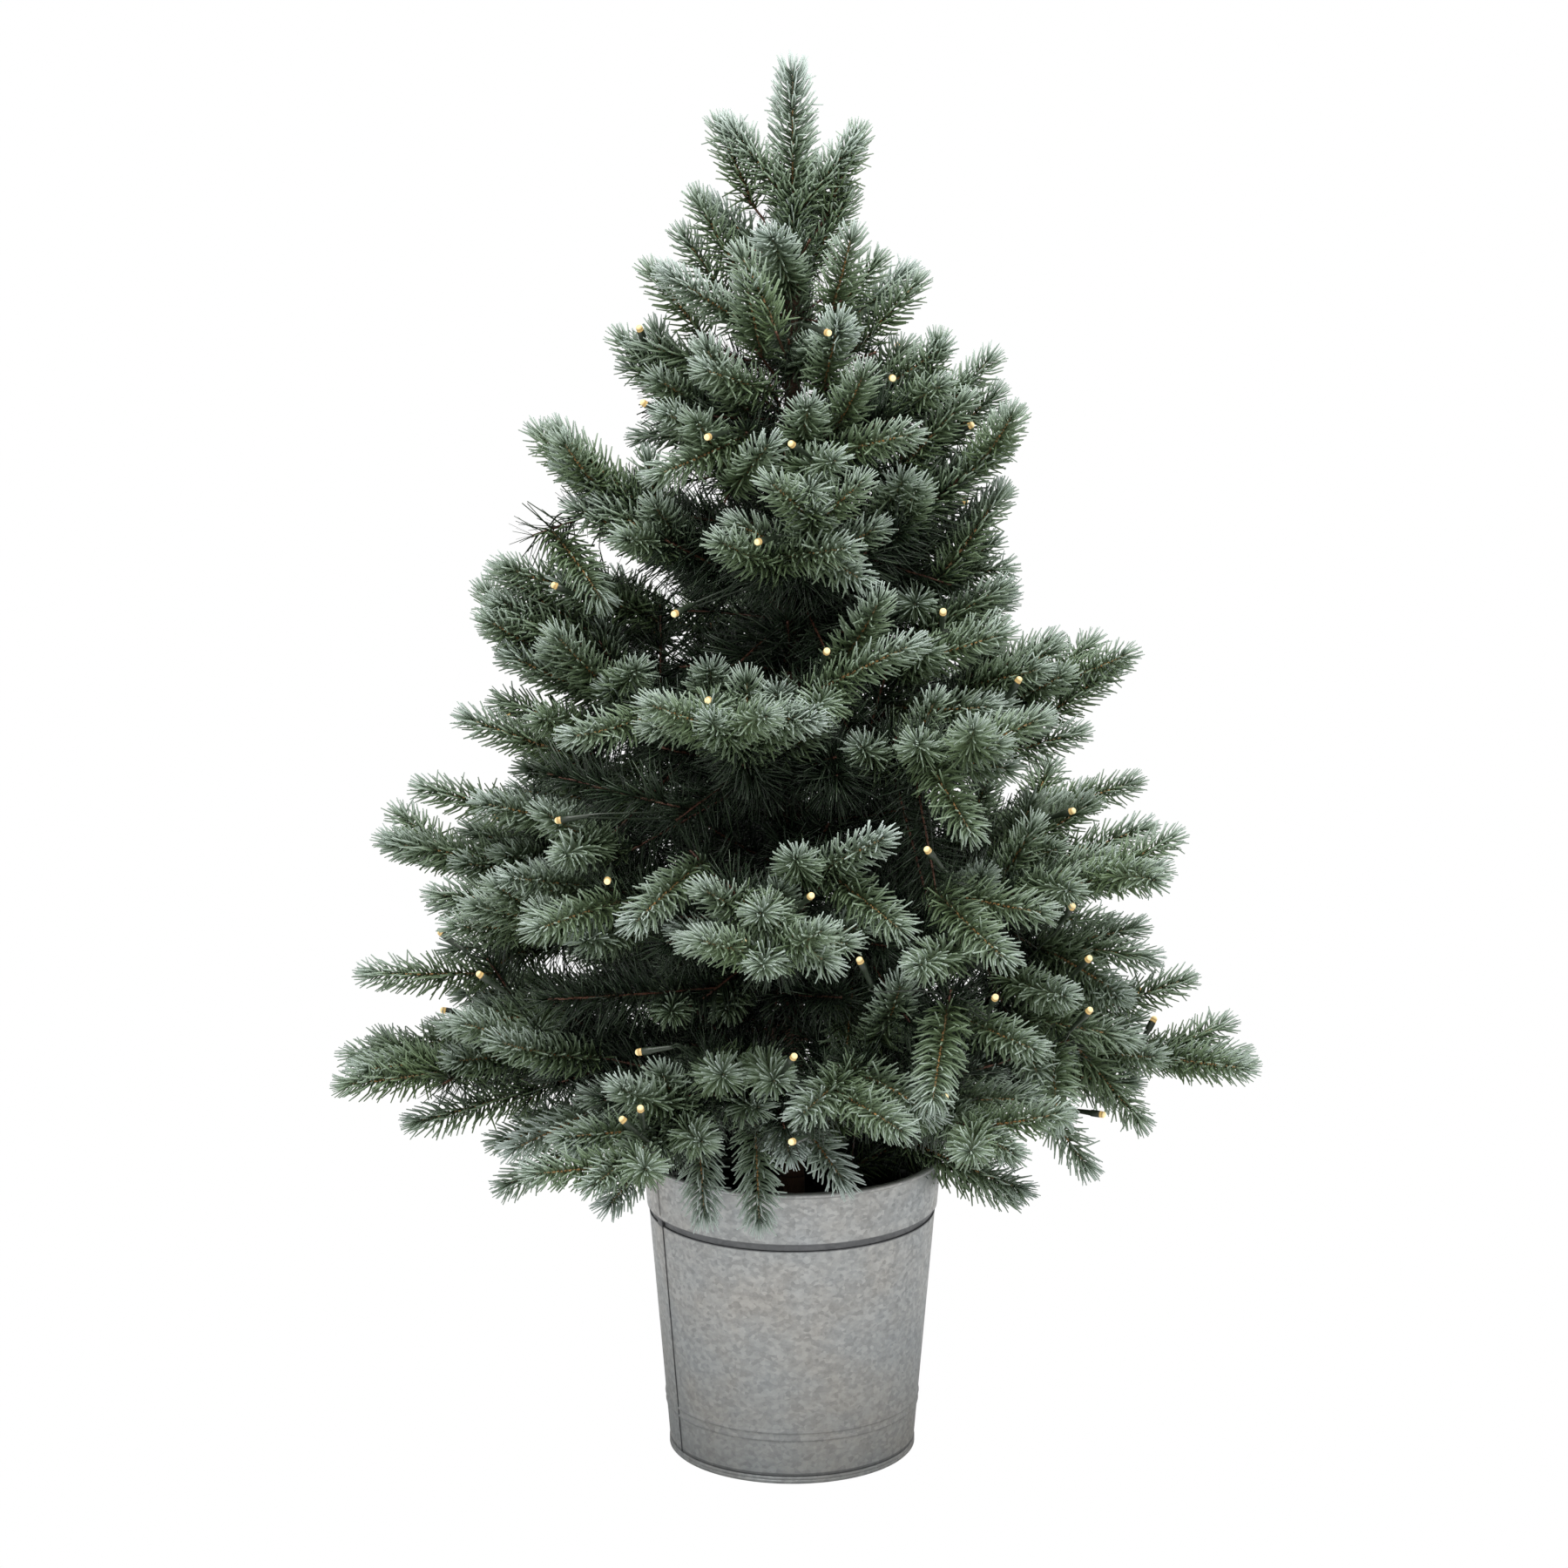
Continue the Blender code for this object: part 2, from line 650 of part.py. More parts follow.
case_side = -case_size[0] / 2 - 2 * GAP
case_y = case_back_y - case_depth / 2
case_z = box_origin.location.z
lead_from_axis = root_radius(LOWEST_TIER_Z) + BINDING_OUTSIDE_ROOT + LEAD_RADIUS + LEAD_CLEARANCE
lead_points = [Vector((case_side + x, case_y + y, case_z + z)) for x, y, z in LEAD_FROM_CASE]
for further_out, above_case in LEAD_TO_TRUNK:
    lead_points.append(around(LEAD_AZIMUTH, lead_from_axis + further_out, case_z + above_case))
lead_points.append(around(LEAD_AZIMUTH, lead_from_axis, LEADER_START_Z - LEAD_BELOW_LEADER))
tubes("lamp_lead", [[(point, 1.0) for point in lead_points]], GREEN_WIRE, LEAD_RADIUS, resolution=2)
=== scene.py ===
"""Artificial tabletop fir in a galvanised bucket, strung with small warm lamps.

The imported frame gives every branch's hinge, its core wire and the bucket. Moulded needles, strip needles,
twisted wires, lamps and the sheet metal's detail are made here and ride on those bodies.
"""

import math

import bpy
import numpy as np
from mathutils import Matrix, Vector
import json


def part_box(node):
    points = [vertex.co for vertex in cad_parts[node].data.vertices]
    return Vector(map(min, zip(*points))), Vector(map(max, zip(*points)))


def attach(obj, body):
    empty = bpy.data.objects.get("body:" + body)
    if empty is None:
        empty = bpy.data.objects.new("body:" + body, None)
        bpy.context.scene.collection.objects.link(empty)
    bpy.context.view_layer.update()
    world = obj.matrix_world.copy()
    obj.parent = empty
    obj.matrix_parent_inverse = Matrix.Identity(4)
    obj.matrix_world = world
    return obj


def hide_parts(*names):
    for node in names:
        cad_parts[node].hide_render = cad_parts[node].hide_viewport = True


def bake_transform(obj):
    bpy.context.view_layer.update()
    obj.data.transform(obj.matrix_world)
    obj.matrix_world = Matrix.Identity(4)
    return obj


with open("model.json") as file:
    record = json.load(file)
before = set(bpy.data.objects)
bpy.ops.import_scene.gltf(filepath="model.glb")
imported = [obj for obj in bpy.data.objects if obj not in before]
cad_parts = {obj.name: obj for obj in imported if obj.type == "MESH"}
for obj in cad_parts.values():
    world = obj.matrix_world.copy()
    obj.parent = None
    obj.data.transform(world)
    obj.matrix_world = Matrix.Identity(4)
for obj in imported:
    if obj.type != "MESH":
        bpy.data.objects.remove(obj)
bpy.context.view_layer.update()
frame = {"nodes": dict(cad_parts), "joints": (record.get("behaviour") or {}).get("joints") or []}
bpy.ops.object.select_all(action="DESELECT")

# --- Camera, studio light and floor ---------------------------------------------------------------
# A long lens a little above the tree's tip, looking down at it. The light is a wide soft box overhead
# in a white room, and the floor is a plain white sheet.
CAMERA_PLACE = (-0.0053, -2.694, 1.045)
CAMERA_TILT = 77.36  # degrees up from looking straight down
CAMERA_LENS = 99.8

bpy.ops.object.camera_add(location=CAMERA_PLACE, rotation=(math.radians(CAMERA_TILT), 0, 0))
camera = bpy.context.object
camera.name = "studio_camera"
camera.data.lens = CAMERA_LENS
camera.data.sensor_width = 36
camera.data.clip_end = 60
bpy.context.scene.camera = camera
bpy.context.scene.view_settings.view_transform = "Standard"

room = bpy.data.worlds.new("white_room")
room.use_nodes = True
walls = room.node_tree.nodes["Background"]
walls.inputs["Color"].default_value = (1, 1, 1, 1)
walls.inputs["Strength"].default_value = 0.55
backdrop = room.node_tree.nodes.new("ShaderNodeBackground")
backdrop.inputs["Color"].default_value = (1, 1, 1, 1)
seen = room.node_tree.nodes.new("ShaderNodeLightPath")
either = room.node_tree.nodes.new("ShaderNodeMixShader")
room.node_tree.links.new(seen.outputs["Is Camera Ray"], either.inputs["Fac"])
room.node_tree.links.new(walls.outputs["Background"], either.inputs[1])
room.node_tree.links.new(backdrop.outputs["Background"], either.inputs[2])
room.node_tree.links.new(either.outputs["Shader"], room.node_tree.nodes["World Output"].inputs["Surface"])
bpy.context.scene.world = room


def soft_box(name, place, size, power):
    """A round area light turned to the middle of the tree."""
    bpy.ops.object.light_add(type="AREA", location=place)
    light = bpy.context.object
    light.name = name
    light.data.shape = "DISK"
    light.data.size = size
    light.data.energy = power
    light.rotation_euler = (Vector((0, 0, 0.5)) - Vector(place)).to_track_quat("-Z", "Y").to_euler()


soft_box("overhead_soft_box", (0.2, -0.7, 2.9), 2.4, 95)
soft_box("front_soft_box", (-1.2, -3.2, 2.0), 1.6, 20)

bpy.ops.mesh.primitive_plane_add(size=40, location=(0, 12, -0.0004))
floor = bpy.context.object
floor.name = "studio_floor"


def finish_of(name, color, roughness, metallic=0.0):
    """A plain material that a section builds its own finish on."""
    made = bpy.data.materials.new(name)
    made.use_nodes = True
    shader = made.node_tree.nodes["Principled BSDF"]
    shader.inputs["Base Color"].default_value = (*color, 1)
    shader.inputs["Roughness"].default_value = roughness
    shader.inputs["Metallic"].default_value = metallic
    return made


white_sheet = finish_of("white_sheet", (0.85, 0.85, 0.85), 0.9)
burnt_out = white_sheet.node_tree.nodes.new("ShaderNodeEmission")
seen = white_sheet.node_tree.nodes.new("ShaderNodeLightPath")
either = white_sheet.node_tree.nodes.new("ShaderNodeMixShader")
paper = white_sheet.node_tree.nodes["Principled BSDF"].outputs["BSDF"]
white_sheet.node_tree.links.new(seen.outputs["Is Camera Ray"], either.inputs["Fac"])
white_sheet.node_tree.links.new(paper, either.inputs[1])
white_sheet.node_tree.links.new(burnt_out.outputs["Emission"], either.inputs[2])
sheet_output = white_sheet.node_tree.nodes["Material Output"]
white_sheet.node_tree.links.new(either.outputs["Shader"], sheet_output.inputs["Surface"])
floor.data.materials.append(white_sheet)

# --- Galvanised bucket ------------------------------------------------------------------------------
# Tapered sheet with a rolled bead, a recessed groove below a raised collar, a low rib and a lap seam at
# the left. Its base is crimped into a foot ring. The zinc has a fine mottled bloom and is dull.
BUCKET_HEIGHT = 0.200
RIM_RADIUS = 0.0959
FOOT_RADIUS = 0.0795
SHEET = 0.0010
BEAD_RADIUS = 0.0020
COLLAR_STEP = 0.0010
GROOVE_Z = 0.1624
GROOVE_HALF = 0.00225
GROOVE_DEPTH = 0.0012
RIB_Z = 0.033
RIB_HALF = 0.0026
RIB_DEPTH = 0.0006
WALL_FOOT_Z = 0.0055
SEAM_AZIMUTH = 204
SEAM_WIDTH = 0.0085
ROUND = 128


def node(tree, kind, settings=None, values=None, links=None):
    """One shader node with its settings, plain socket values and incoming links."""
    made = tree.nodes.new(kind)
    for key, value in (settings or {}).items():
        setattr(made, key, value)
    for key, value in (values or {}).items():
        made.inputs[key].default_value = value
    for key, source in (links or {}).items():
        tree.links.new(source, made.inputs[key])
    return made


def ramp(tree, source, stops):
    """Colours at their positions, picked by a value."""
    made = node(tree, "ShaderNodeValToRGB", links={"Fac": source})
    elements = made.color_ramp.elements
    while len(elements) < len(stops):
        elements.new(1.0)
    for element, (position, color) in zip(elements, stops):
        element.position = position
        element.color = (*color, 1)
    return made.outputs["Color"]


def grain_group():
    """Fine unevenness of a surface: a bump and a matching mask, from two sizes of noise."""
    group = bpy.data.node_groups.new("fine_grain", "ShaderNodeTree")
    for name, kind, start in (
        ("Vector", "NodeSocketVector", None),
        ("Scale", "NodeSocketFloat", 400.0),
        ("Strength", "NodeSocketFloat", 0.2),
        ("Depth", "NodeSocketFloat", 0.0002),
    ):
        socket = group.interface.new_socket(name, in_out="INPUT", socket_type=kind)
        if start is not None:
            socket.default_value = start
    group.interface.new_socket("Mask", in_out="OUTPUT", socket_type="NodeSocketFloat")
    group.interface.new_socket("Normal", in_out="OUTPUT", socket_type="NodeSocketVector")
    given = group.nodes.new("NodeGroupInput")
    result = group.nodes.new("NodeGroupOutput")
    noise = node(
        group,
        "ShaderNodeTexNoise",
        values={"Detail": 4.0, "Roughness": 0.6},
        links={"Vector": given.outputs["Vector"], "Scale": given.outputs["Scale"]},
    )
    bump = node(
        group,
        "ShaderNodeBump",
        links={
            "Height": noise.outputs["Fac"],
            "Strength": given.outputs["Strength"],
            "Distance": given.outputs["Depth"],
        },
    )
    group.links.new(noise.outputs["Fac"], result.inputs["Mask"])
    group.links.new(bump.outputs["Normal"], result.inputs["Normal"])
    return group


FINE_GRAIN = grain_group()


def grain(tree, scale, strength, depth, source=None):
    """The fine_grain group in a material, on its Object coordinates unless a source is given."""
    source = source or node(tree, "ShaderNodeTexCoord").outputs["Object"]
    return node(
        tree,
        "ShaderNodeGroup",
        {"node_tree": FINE_GRAIN},
        {"Scale": scale, "Strength": strength, "Depth": depth},
        {"Vector": source},
    )


def wall_radius(height):
    return FOOT_RADIUS + (RIM_RADIUS - FOOT_RADIUS) * height / BUCKET_HEIGHT


def around(azimuth, radius, height):
    """A point at these degrees round the axis, at this distance from it and height."""
    angle = math.radians(azimuth)
    return Vector((radius * math.cos(angle), radius * math.sin(angle), height))


def turned(name, profile):
    """A turned piece: a circle extruded from ring to ring along the closed profile of (radius, height)."""
    radius, height = profile[0]
    bpy.ops.mesh.primitive_circle_add(vertices=ROUND, radius=radius, location=(0, 0, height))
    piece = bpy.context.object
    piece.name = name
    bpy.ops.object.transform_apply(location=True)
    bpy.ops.object.mode_set(mode="EDIT")
    bpy.ops.mesh.select_mode(type="EDGE")
    bpy.ops.mesh.select_all(action="SELECT")
    for next_radius, next_height in profile[1:] + [profile[0]]:
        bpy.ops.mesh.extrude_edges_move(TRANSFORM_OT_translate={"value": (0, 0, next_height - height)})
        share = next_radius / radius
        bpy.ops.transform.resize(value=(share, share, 1), center_override=(0, 0, next_height))
        radius, height = next_radius, next_height
    bpy.ops.mesh.select_all(action="SELECT")
    bpy.ops.mesh.remove_doubles(threshold=0.00001)
    bpy.ops.mesh.normals_make_consistent(inside=False)
    bpy.ops.object.mode_set(mode="OBJECT")
    bpy.ops.object.shade_smooth_by_angle(angle=math.radians(50))
    return piece


def sheet_profile():
    """Up the outer side, round the bead and down the inner side of the bucket's wall."""
    outer = [(wall_radius(WALL_FOOT_Z), WALL_FOOT_Z)]
    for middle in (RIB_Z - RIB_HALF, RIB_Z + RIB_HALF):
        for step, out in ((-0.0022, 0), (-0.0013, 0), (-0.0006, 0.8), (0.0002, 1), (0.0010, 0), (0.0019, 0)):
            height = middle + step
            outer.append((wall_radius(height) + out * RIB_DEPTH, height))
    bottom, top = GROOVE_Z - GROOVE_HALF, GROOVE_Z + GROOVE_HALF
    outer += [(wall_radius(0.09), 0.09), (wall_radius(bottom - 0.001), bottom - 0.001)]
    outer += [(wall_radius(bottom), bottom), (wall_radius(bottom) - GROOVE_DEPTH * 0.8, bottom + 0.0003)]
    outer += [(wall_radius(GROOVE_Z) - GROOVE_DEPTH, GROOVE_Z)]
    outer += [(wall_radius(top) - GROOVE_DEPTH * 0.8, top - 0.0003), (wall_radius(top) + COLLAR_STEP, top)]
    outer += [(wall_radius(top + 0.001) + COLLAR_STEP, top + 0.001)]
    bead_r, bead_z = wall_radius(BUCKET_HEIGHT) + COLLAR_STEP - BEAD_RADIUS / 3, BUCKET_HEIGHT - BEAD_RADIUS
    for degrees in range(-75, 196, 30):
        angle = math.radians(degrees)
        outer.append((bead_r + BEAD_RADIUS * math.cos(angle), bead_z + BEAD_RADIUS * math.sin(angle)))
    inner = [(wall_radius(top + 0.002) + COLLAR_STEP - SHEET, top + 0.002)]
    inner += [(wall_radius(top) - GROOVE_DEPTH - SHEET, top - 0.0002)]
    inner += [(wall_radius(bottom) - GROOVE_DEPTH - SHEET, bottom + 0.0002)]
    inner += [(wall_radius(bottom - 0.002) - SHEET, bottom - 0.002)]
    inner += [(wall_radius(WALL_FOOT_Z) - SHEET, WALL_FOOT_Z)]
    return outer + inner


def zinc():
    """Dull galvanised sheet: mottled bloom with faint warm and cool clouds, with painted shade darkening the
    groove, the foot and the rib's two edges.
    """
    made = finish_of("galvanised_sheet", (0.4, 0.41, 0.41), 0.5, 0.75)
    tree = made.node_tree
    shader = tree.nodes["Principled BSDF"]
    place = node(tree, "ShaderNodeTexCoord").outputs["Object"]
    stretched = node(
        tree, "ShaderNodeMapping", values={"Scale": (1.0, 1.0, 1.25)}, links={"Vector": place}
    ).outputs["Vector"]
    fine = node(
        tree,
        "ShaderNodeTexNoise",
        values={"Scale": 190.0, "Detail": 5.0, "Roughness": 0.66},
        links={"Vector": stretched},
    ).outputs["Fac"]
    spangle = node(
        tree,
        "ShaderNodeTexVoronoi",
        {"feature": "F1"},
        {"Scale": 330.0, "Randomness": 1.0},
        {"Vector": stretched},
    ).outputs["Color"]
    spangle_value = node(tree, "ShaderNodeSeparateColor", links={"Color": spangle}).outputs["Red"]
    mottle = node(
        tree,
        "ShaderNodeMix",
        {"data_type": "FLOAT"},
        {"Factor": 0.30},
        {"A": fine, "B": spangle_value},
    ).outputs["Result"]
    grey = ramp(
        tree,
        mottle,
        [(0.28, (0.312, 0.314, 0.313)), (0.50, (0.368, 0.370, 0.367)), (0.72, (0.434, 0.434, 0.428))],
    )
    cloud = node(
        tree,
        "ShaderNodeTexNoise",
        values={"Scale": 16.0, "Detail": 5.0, "Roughness": 0.62},
        links={"Vector": place},
    ).outputs["Fac"]
    tint = ramp(
        tree,
        cloud,
        [(0.34, (0.93, 0.97, 0.99)), (0.50, (0.99, 1.0, 0.99)), (0.64, (1.0, 0.975, 0.93))],
    )
    tinted = node(
        tree,
        "ShaderNodeMix",
        {"data_type": "RGBA", "blend_type": "MULTIPLY"},
        {"Factor": 1.0},
        {"A": grey, "B": tint},
    )
    height = node(tree, "ShaderNodeSeparateXYZ", links={"Vector": place}).outputs["Z"]
    # Painted shade: dark bands in the recessed groove, where the wall meets the foot, and faintly along the
    # rib's two edges.
    dark = None
    for middle, half, amount in (
        (GROOVE_Z, GROOVE_HALF + 0.0004, 0.88),
        (WALL_FOOT_Z + 0.0004, 0.0009, 0.65),
        (RIB_Z - RIB_HALF, 0.0009, 0.16),
        (RIB_Z + RIB_HALF, 0.0009, 0.16),
    ):
        away = node(
            tree, "ShaderNodeMath", {"operation": "SUBTRACT"}, {1: middle}, {0: height}
        ).outputs["Value"]
        away = node(tree, "ShaderNodeMath", {"operation": "ABSOLUTE"}, links={0: away}).outputs["Value"]
        band = node(
            tree,
            "ShaderNodeMapRange",
            {"clamp": True},
            {"From Min": half, "From Max": half + 0.0006, "To Min": amount, "To Max": 0.0},
            {"Value": away},
        ).outputs["Result"]
        if dark is None:
            dark = band
        else:
            dark = node(tree, "ShaderNodeMath", {"operation": "MAXIMUM"}, links={0: dark, 1: band})
            dark = dark.outputs["Value"]
    # Mixes the painted shade's near-black colour in over those bands.
    painted_shade = node(
        tree,
        "ShaderNodeMix",
        {"data_type": "RGBA", "blend_type": "MIX"},
        {"B": (0.10, 0.103, 0.108, 1)},
        {"Factor": dark, "A": tinted.outputs["Result"]},
    )
    tree.links.new(painted_shade.outputs["Result"], shader.inputs["Base Color"])
    dull = node(
        tree,
        "ShaderNodeMapRange",
        values={"From Min": 0.3, "From Max": 0.7, "To Min": 0.60, "To Max": 0.42},
        links={"Value": mottle},
    )
    tree.links.new(dull.outputs["Result"], shader.inputs["Roughness"])
    surface = grain(tree, 260.0, 0.25, 0.0003, place)
    tree.links.new(surface.outputs["Normal"], shader.inputs["Normal"])
    return made


ZINC = zinc()
# Near-black inside of the wall: painted shade inside the bucket.
INSIDE_PAINTED_SHADE = finish_of("bucket_inside_painted_shade", (0.018, 0.018, 0.019), 0.65)
inside_grain = grain(INSIDE_PAINTED_SHADE.node_tree, 150.0, 0.3, 0.0004)
INSIDE_PAINTED_SHADE.node_tree.links.new(
    inside_grain.outputs["Normal"], INSIDE_PAINTED_SHADE.node_tree.nodes["Principled BSDF"].inputs["Normal"]
)

bucket = turned("bucket_sheet", sheet_profile())
bucket.data.materials.append(ZINC)
bucket.data.materials.append(INSIDE_PAINTED_SHADE)
# Faces on the inside of the wall below the bead take the painted shade.
for face in bucket.data.polygons:
    middle = face.center
    inward = face.normal.x * middle.x + face.normal.y * middle.y < -0.2 * math.hypot(middle.x, middle.y)
    below_bead = middle.z < BUCKET_HEIGHT - 2 * BEAD_RADIUS
    behind = math.hypot(middle.x, middle.y) <= wall_radius(middle.z) - SHEET * 0.4
    face.material_index = 1 if inward and below_bead and behind and face.normal.z < 0.6 else 0
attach(bucket, "stand")
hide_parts("bucket_wall")

FOOT_OUT = 0.0008
foot = turned(
    "bucket_foot_and_base",
    [
        (0.0005, 0.0085),
        (wall_radius(WALL_FOOT_Z) - SHEET - 0.0006, 0.0085),
        (wall_radius(WALL_FOOT_Z) - SHEET - 0.0003, 0.0080),
        (wall_radius(WALL_FOOT_Z) - SHEET - 0.0003, 0.0052),
        (FOOT_RADIUS + FOOT_OUT - 0.0006, 0.0051),
        (FOOT_RADIUS + FOOT_OUT, 0.0044),
        (FOOT_RADIUS + FOOT_OUT, 0.0030),
        (FOOT_RADIUS + FOOT_OUT - 0.0004, 0.0026),
        (FOOT_RADIUS + FOOT_OUT, 0.0022),
        (FOOT_RADIUS + FOOT_OUT, 0.0007),
        (FOOT_RADIUS + FOOT_OUT - 0.0007, 0.0),
        (FOOT_RADIUS + FOOT_OUT - 0.0040, 0.0),
        (FOOT_RADIUS + FOOT_OUT - 0.0042, 0.0066),
        (FOOT_RADIUS + FOOT_OUT - 0.0050, 0.0070),
        (0.0005, 0.0070),
    ],
)
foot.data.materials.append(ZINC)
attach(foot, "stand")
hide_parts("bucket_base")


SEAM_CUTS = (0.15, 0.40, 0.70, 0.77, 0.787, 0.792, 0.81, 0.83)  # shares of its height


def lap_seam():
    """The lapped edge of the sheet: a strip up the wall that thins out to one side."""
    bpy.ops.mesh.primitive_cube_add(size=1)
    seam = bpy.context.object
    seam.name = "bucket_lap_seam"
    bpy.ops.object.mode_set(mode="EDIT")
    bpy.ops.mesh.subdivide(number_cuts=6)
    for share in SEAM_CUTS:
        bpy.ops.mesh.select_all(action="SELECT")
        bpy.ops.mesh.bisect(plane_co=(0, 0, share - 0.5), plane_no=(0, 0, 1))
    bpy.ops.object.mode_set(mode="OBJECT")
    low, high = WALL_FOOT_Z + 0.0002, BUCKET_HEIGHT - 2 * BEAD_RADIUS - 0.0004
    for vertex in seam.data.vertices:
        across, out, height = vertex.co.x, vertex.co.y + 0.5, low + (vertex.co.z + 0.5) * (high - low)
        radius = wall_radius(height)
        if abs(height - GROOVE_Z) < GROOVE_HALF:
            radius -= GROOVE_DEPTH
        if height >= GROOVE_Z + GROOVE_HALF - 0.0001:
            radius += COLLAR_STEP
        thick = 0.0007 * (1 - max(0.0, across) * 1.2)
        azimuth = SEAM_AZIMUTH - math.degrees(across * SEAM_WIDTH / radius)
        vertex.co = around(azimuth, radius - 0.0003 + out * (thick + 0.0003), height)
    bpy.ops.object.mode_set(mode="EDIT")
    bpy.ops.mesh.select_all(action="SELECT")
    bpy.ops.mesh.normals_make_consistent(inside=False)
    bpy.ops.object.mode_set(mode="OBJECT")
    return seam


seam = lap_seam()
seam.data.materials.append(ZINC)
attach(seam, "stand")

# The dark line where the lapped edge ends: dirt along the edge, and painted shade where the lap meets the
# wall
bpy.ops.mesh.primitive_cylinder_add(vertices=6, radius=0.00042, depth=1)
seam_line = bpy.context.object
seam_line.name = "bucket_seam_line"
bpy.ops.object.mode_set(mode="EDIT")
for share in (0.783, 0.805):
    bpy.ops.mesh.select_all(action="SELECT")
    bpy.ops.mesh.bisect(plane_co=(0, 0, share - 0.5), plane_no=(0, 0, 1))
bpy.ops.object.mode_set(mode="OBJECT")
for vertex in seam_line.data.vertices:
    height = WALL_FOOT_Z + (vertex.co.z + 0.5) * (BUCKET_HEIGHT - 2 * BEAD_RADIUS - WALL_FOOT_Z)
    radius = wall_radius(height) + (COLLAR_STEP if height > GROOVE_Z else 0.0)
    azimuth = SEAM_AZIMUTH + math.degrees((SEAM_WIDTH / 2 + vertex.co.x) / radius)
    vertex.co = around(azimuth, radius + vertex.co.y, height)
seam_line.data.materials.append(finish_of("seam_dirt_and_shade", (0.045, 0.045, 0.048), 0.8))
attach(seam_line, "stand")

# --- Pot of cement ----------------------------------------------------------------------------------
# A black plastic pot pressed into the bucket, filled with cement round the trunk's foot. Nothing of it
# shows unless one looks down into the bucket.


def plain_piece(node_name, look):
    """Gives a CAD node that keeps its shape its material."""
    target = frame["nodes"][node_name]
    target.data.materials.clear()
    target.data.materials.append(look)


def grained(name, color, darker, roughness, scale, strength, depth, metallic=0.0):
    """A material whose colour and surface vary with one grain."""
    made = finish_of(name, color, roughness, metallic)
    tree = made.node_tree
    shader = tree.nodes["Principled BSDF"]
    surface = grain(tree, scale, strength, depth)
    tint = ramp(tree, surface.outputs["Mask"], [(0.35, darker), (0.65, color)])
    tree.links.new(tint, shader.inputs["Base Color"])
    tree.links.new(surface.outputs["Normal"], shader.inputs["Normal"])
    return made


POT_PLASTIC = grained("pot_plastic", (0.022, 0.022, 0.022), (0.015, 0.015, 0.015), 0.5, 300, 0.2, 0.0002)
CEMENT = grained("cement", (0.30, 0.29, 0.27), (0.19, 0.18, 0.17), 0.92, 120, 0.8, 0.0012)
plain_piece("cement_pot", POT_PLASTIC)
plain_piece("cement_weight", CEMENT)

# --- Trunk ------------------------------------------------------------------------------------------
# A steel pole wound with brown crepe tape, with a thicker binding where each tier's wires are bound in.


def crepe_tape():
    """Brown crinkled tape wound up the pole, its overlaps showing as low ridges."""
    made = finish_of("brown_crepe_tape", (0.10, 0.055, 0.035), 0.85)
    tree = made.node_tree
    shader = tree.nodes["Principled BSDF"]
    place = node(tree, "ShaderNodeTexCoord").outputs["Object"]
    turns = node(
        tree,
        "ShaderNodeTexWave",
        {"bands_direction": "Z", "wave_profile": "SAW"},
        {"Scale": 26.0, "Distortion": 1.2, "Detail": 1.0, "Detail Scale": 2.0},
        {"Vector": place},
    ).outputs["Fac"]
    tint = ramp(
        tree,
        turns,
        [(0.0, (0.045, 0.025, 0.017)), (0.12, (0.105, 0.058, 0.037)), (1.0, (0.125, 0.070, 0.045))],
    )
    tree.links.new(tint, shader.inputs["Base Color"])
    crinkle = grain(tree, 900.0, 0.5, 0.0004, place)
    edge = node(
        tree,
        "ShaderNodeBump",
        values={"Strength": 0.7, "Distance": 0.0006},
        links={"Height": turns, "Normal": crinkle.outputs["Normal"]},
    )
    tree.links.new(edge.outputs["Normal"], shader.inputs["Normal"])
    return made


plain_piece("trunk", crepe_tape())

# --- Branch core wires ------------------------------------------------------------------------------
# Each branch is a pair of steel wires twisted round each other, lacquered red-brown, and turns at a
# rounded root in the trunk's binding.


class Branch:
    """Where a branch turns and how it lies, read from its joint and its core wire."""

    def __init__(self, joint):
        self.name = joint["child"]
        self.pivot = np.array(joint["pos_m"], float)
        points = np.array([v.co for v in frame["nodes"][self.name + "_wire"].data.vertices], float)
        far = np.linalg.norm(points - self.pivot, axis=1)
        tip = points[far > far.max() - 0.002].mean(axis=0)
        self.wire_end = float(np.linalg.norm(tip - self.pivot))
        out = (tip - self.pivot) / self.wire_end
        left = np.cross((0, 0, 1), out)
        left /= np.linalg.norm(left)
        self.axes = np.array([out, left, np.cross(out, left)])
        self.length = self.wire_end + WIRE_TIP_INSET
        self.azimuth = math.degrees(math.atan2(out[1], out[0]))
        self.tier = int(self.name[-2])
        self.seed = int(self.name[-2:])

    def place(self, points):
        """Points (out, left, up) from the hinge, as points of the frame."""
        return self.pivot + np.asarray(points, float) @ self.axes


WIRE_TIP_INSET = 0.045  # how far the sprig at its end goes on past the wire
branches = [Branch(joint) for joint in frame["joints"] if joint["child"].startswith("branch_")]

STRAND_RADIUS = 0.00078
TWIST_PITCH = 0.0075
TWIST_STEP = 0.0016
ROOT_RADIUS = 0.0020


def twisted_pair(length):
    """The centre lines of two strands wound round +X."""
    count = max(4, int(length / TWIST_STEP))
    x = np.linspace(0, length, count)
    angle = 2 * math.pi * x / TWIST_PITCH
    strand = np.stack([x, STRAND_RADIUS * np.cos(angle), STRAND_RADIUS * np.sin(angle)], axis=1)
    return [strand, strand * (1, -1, -1)]


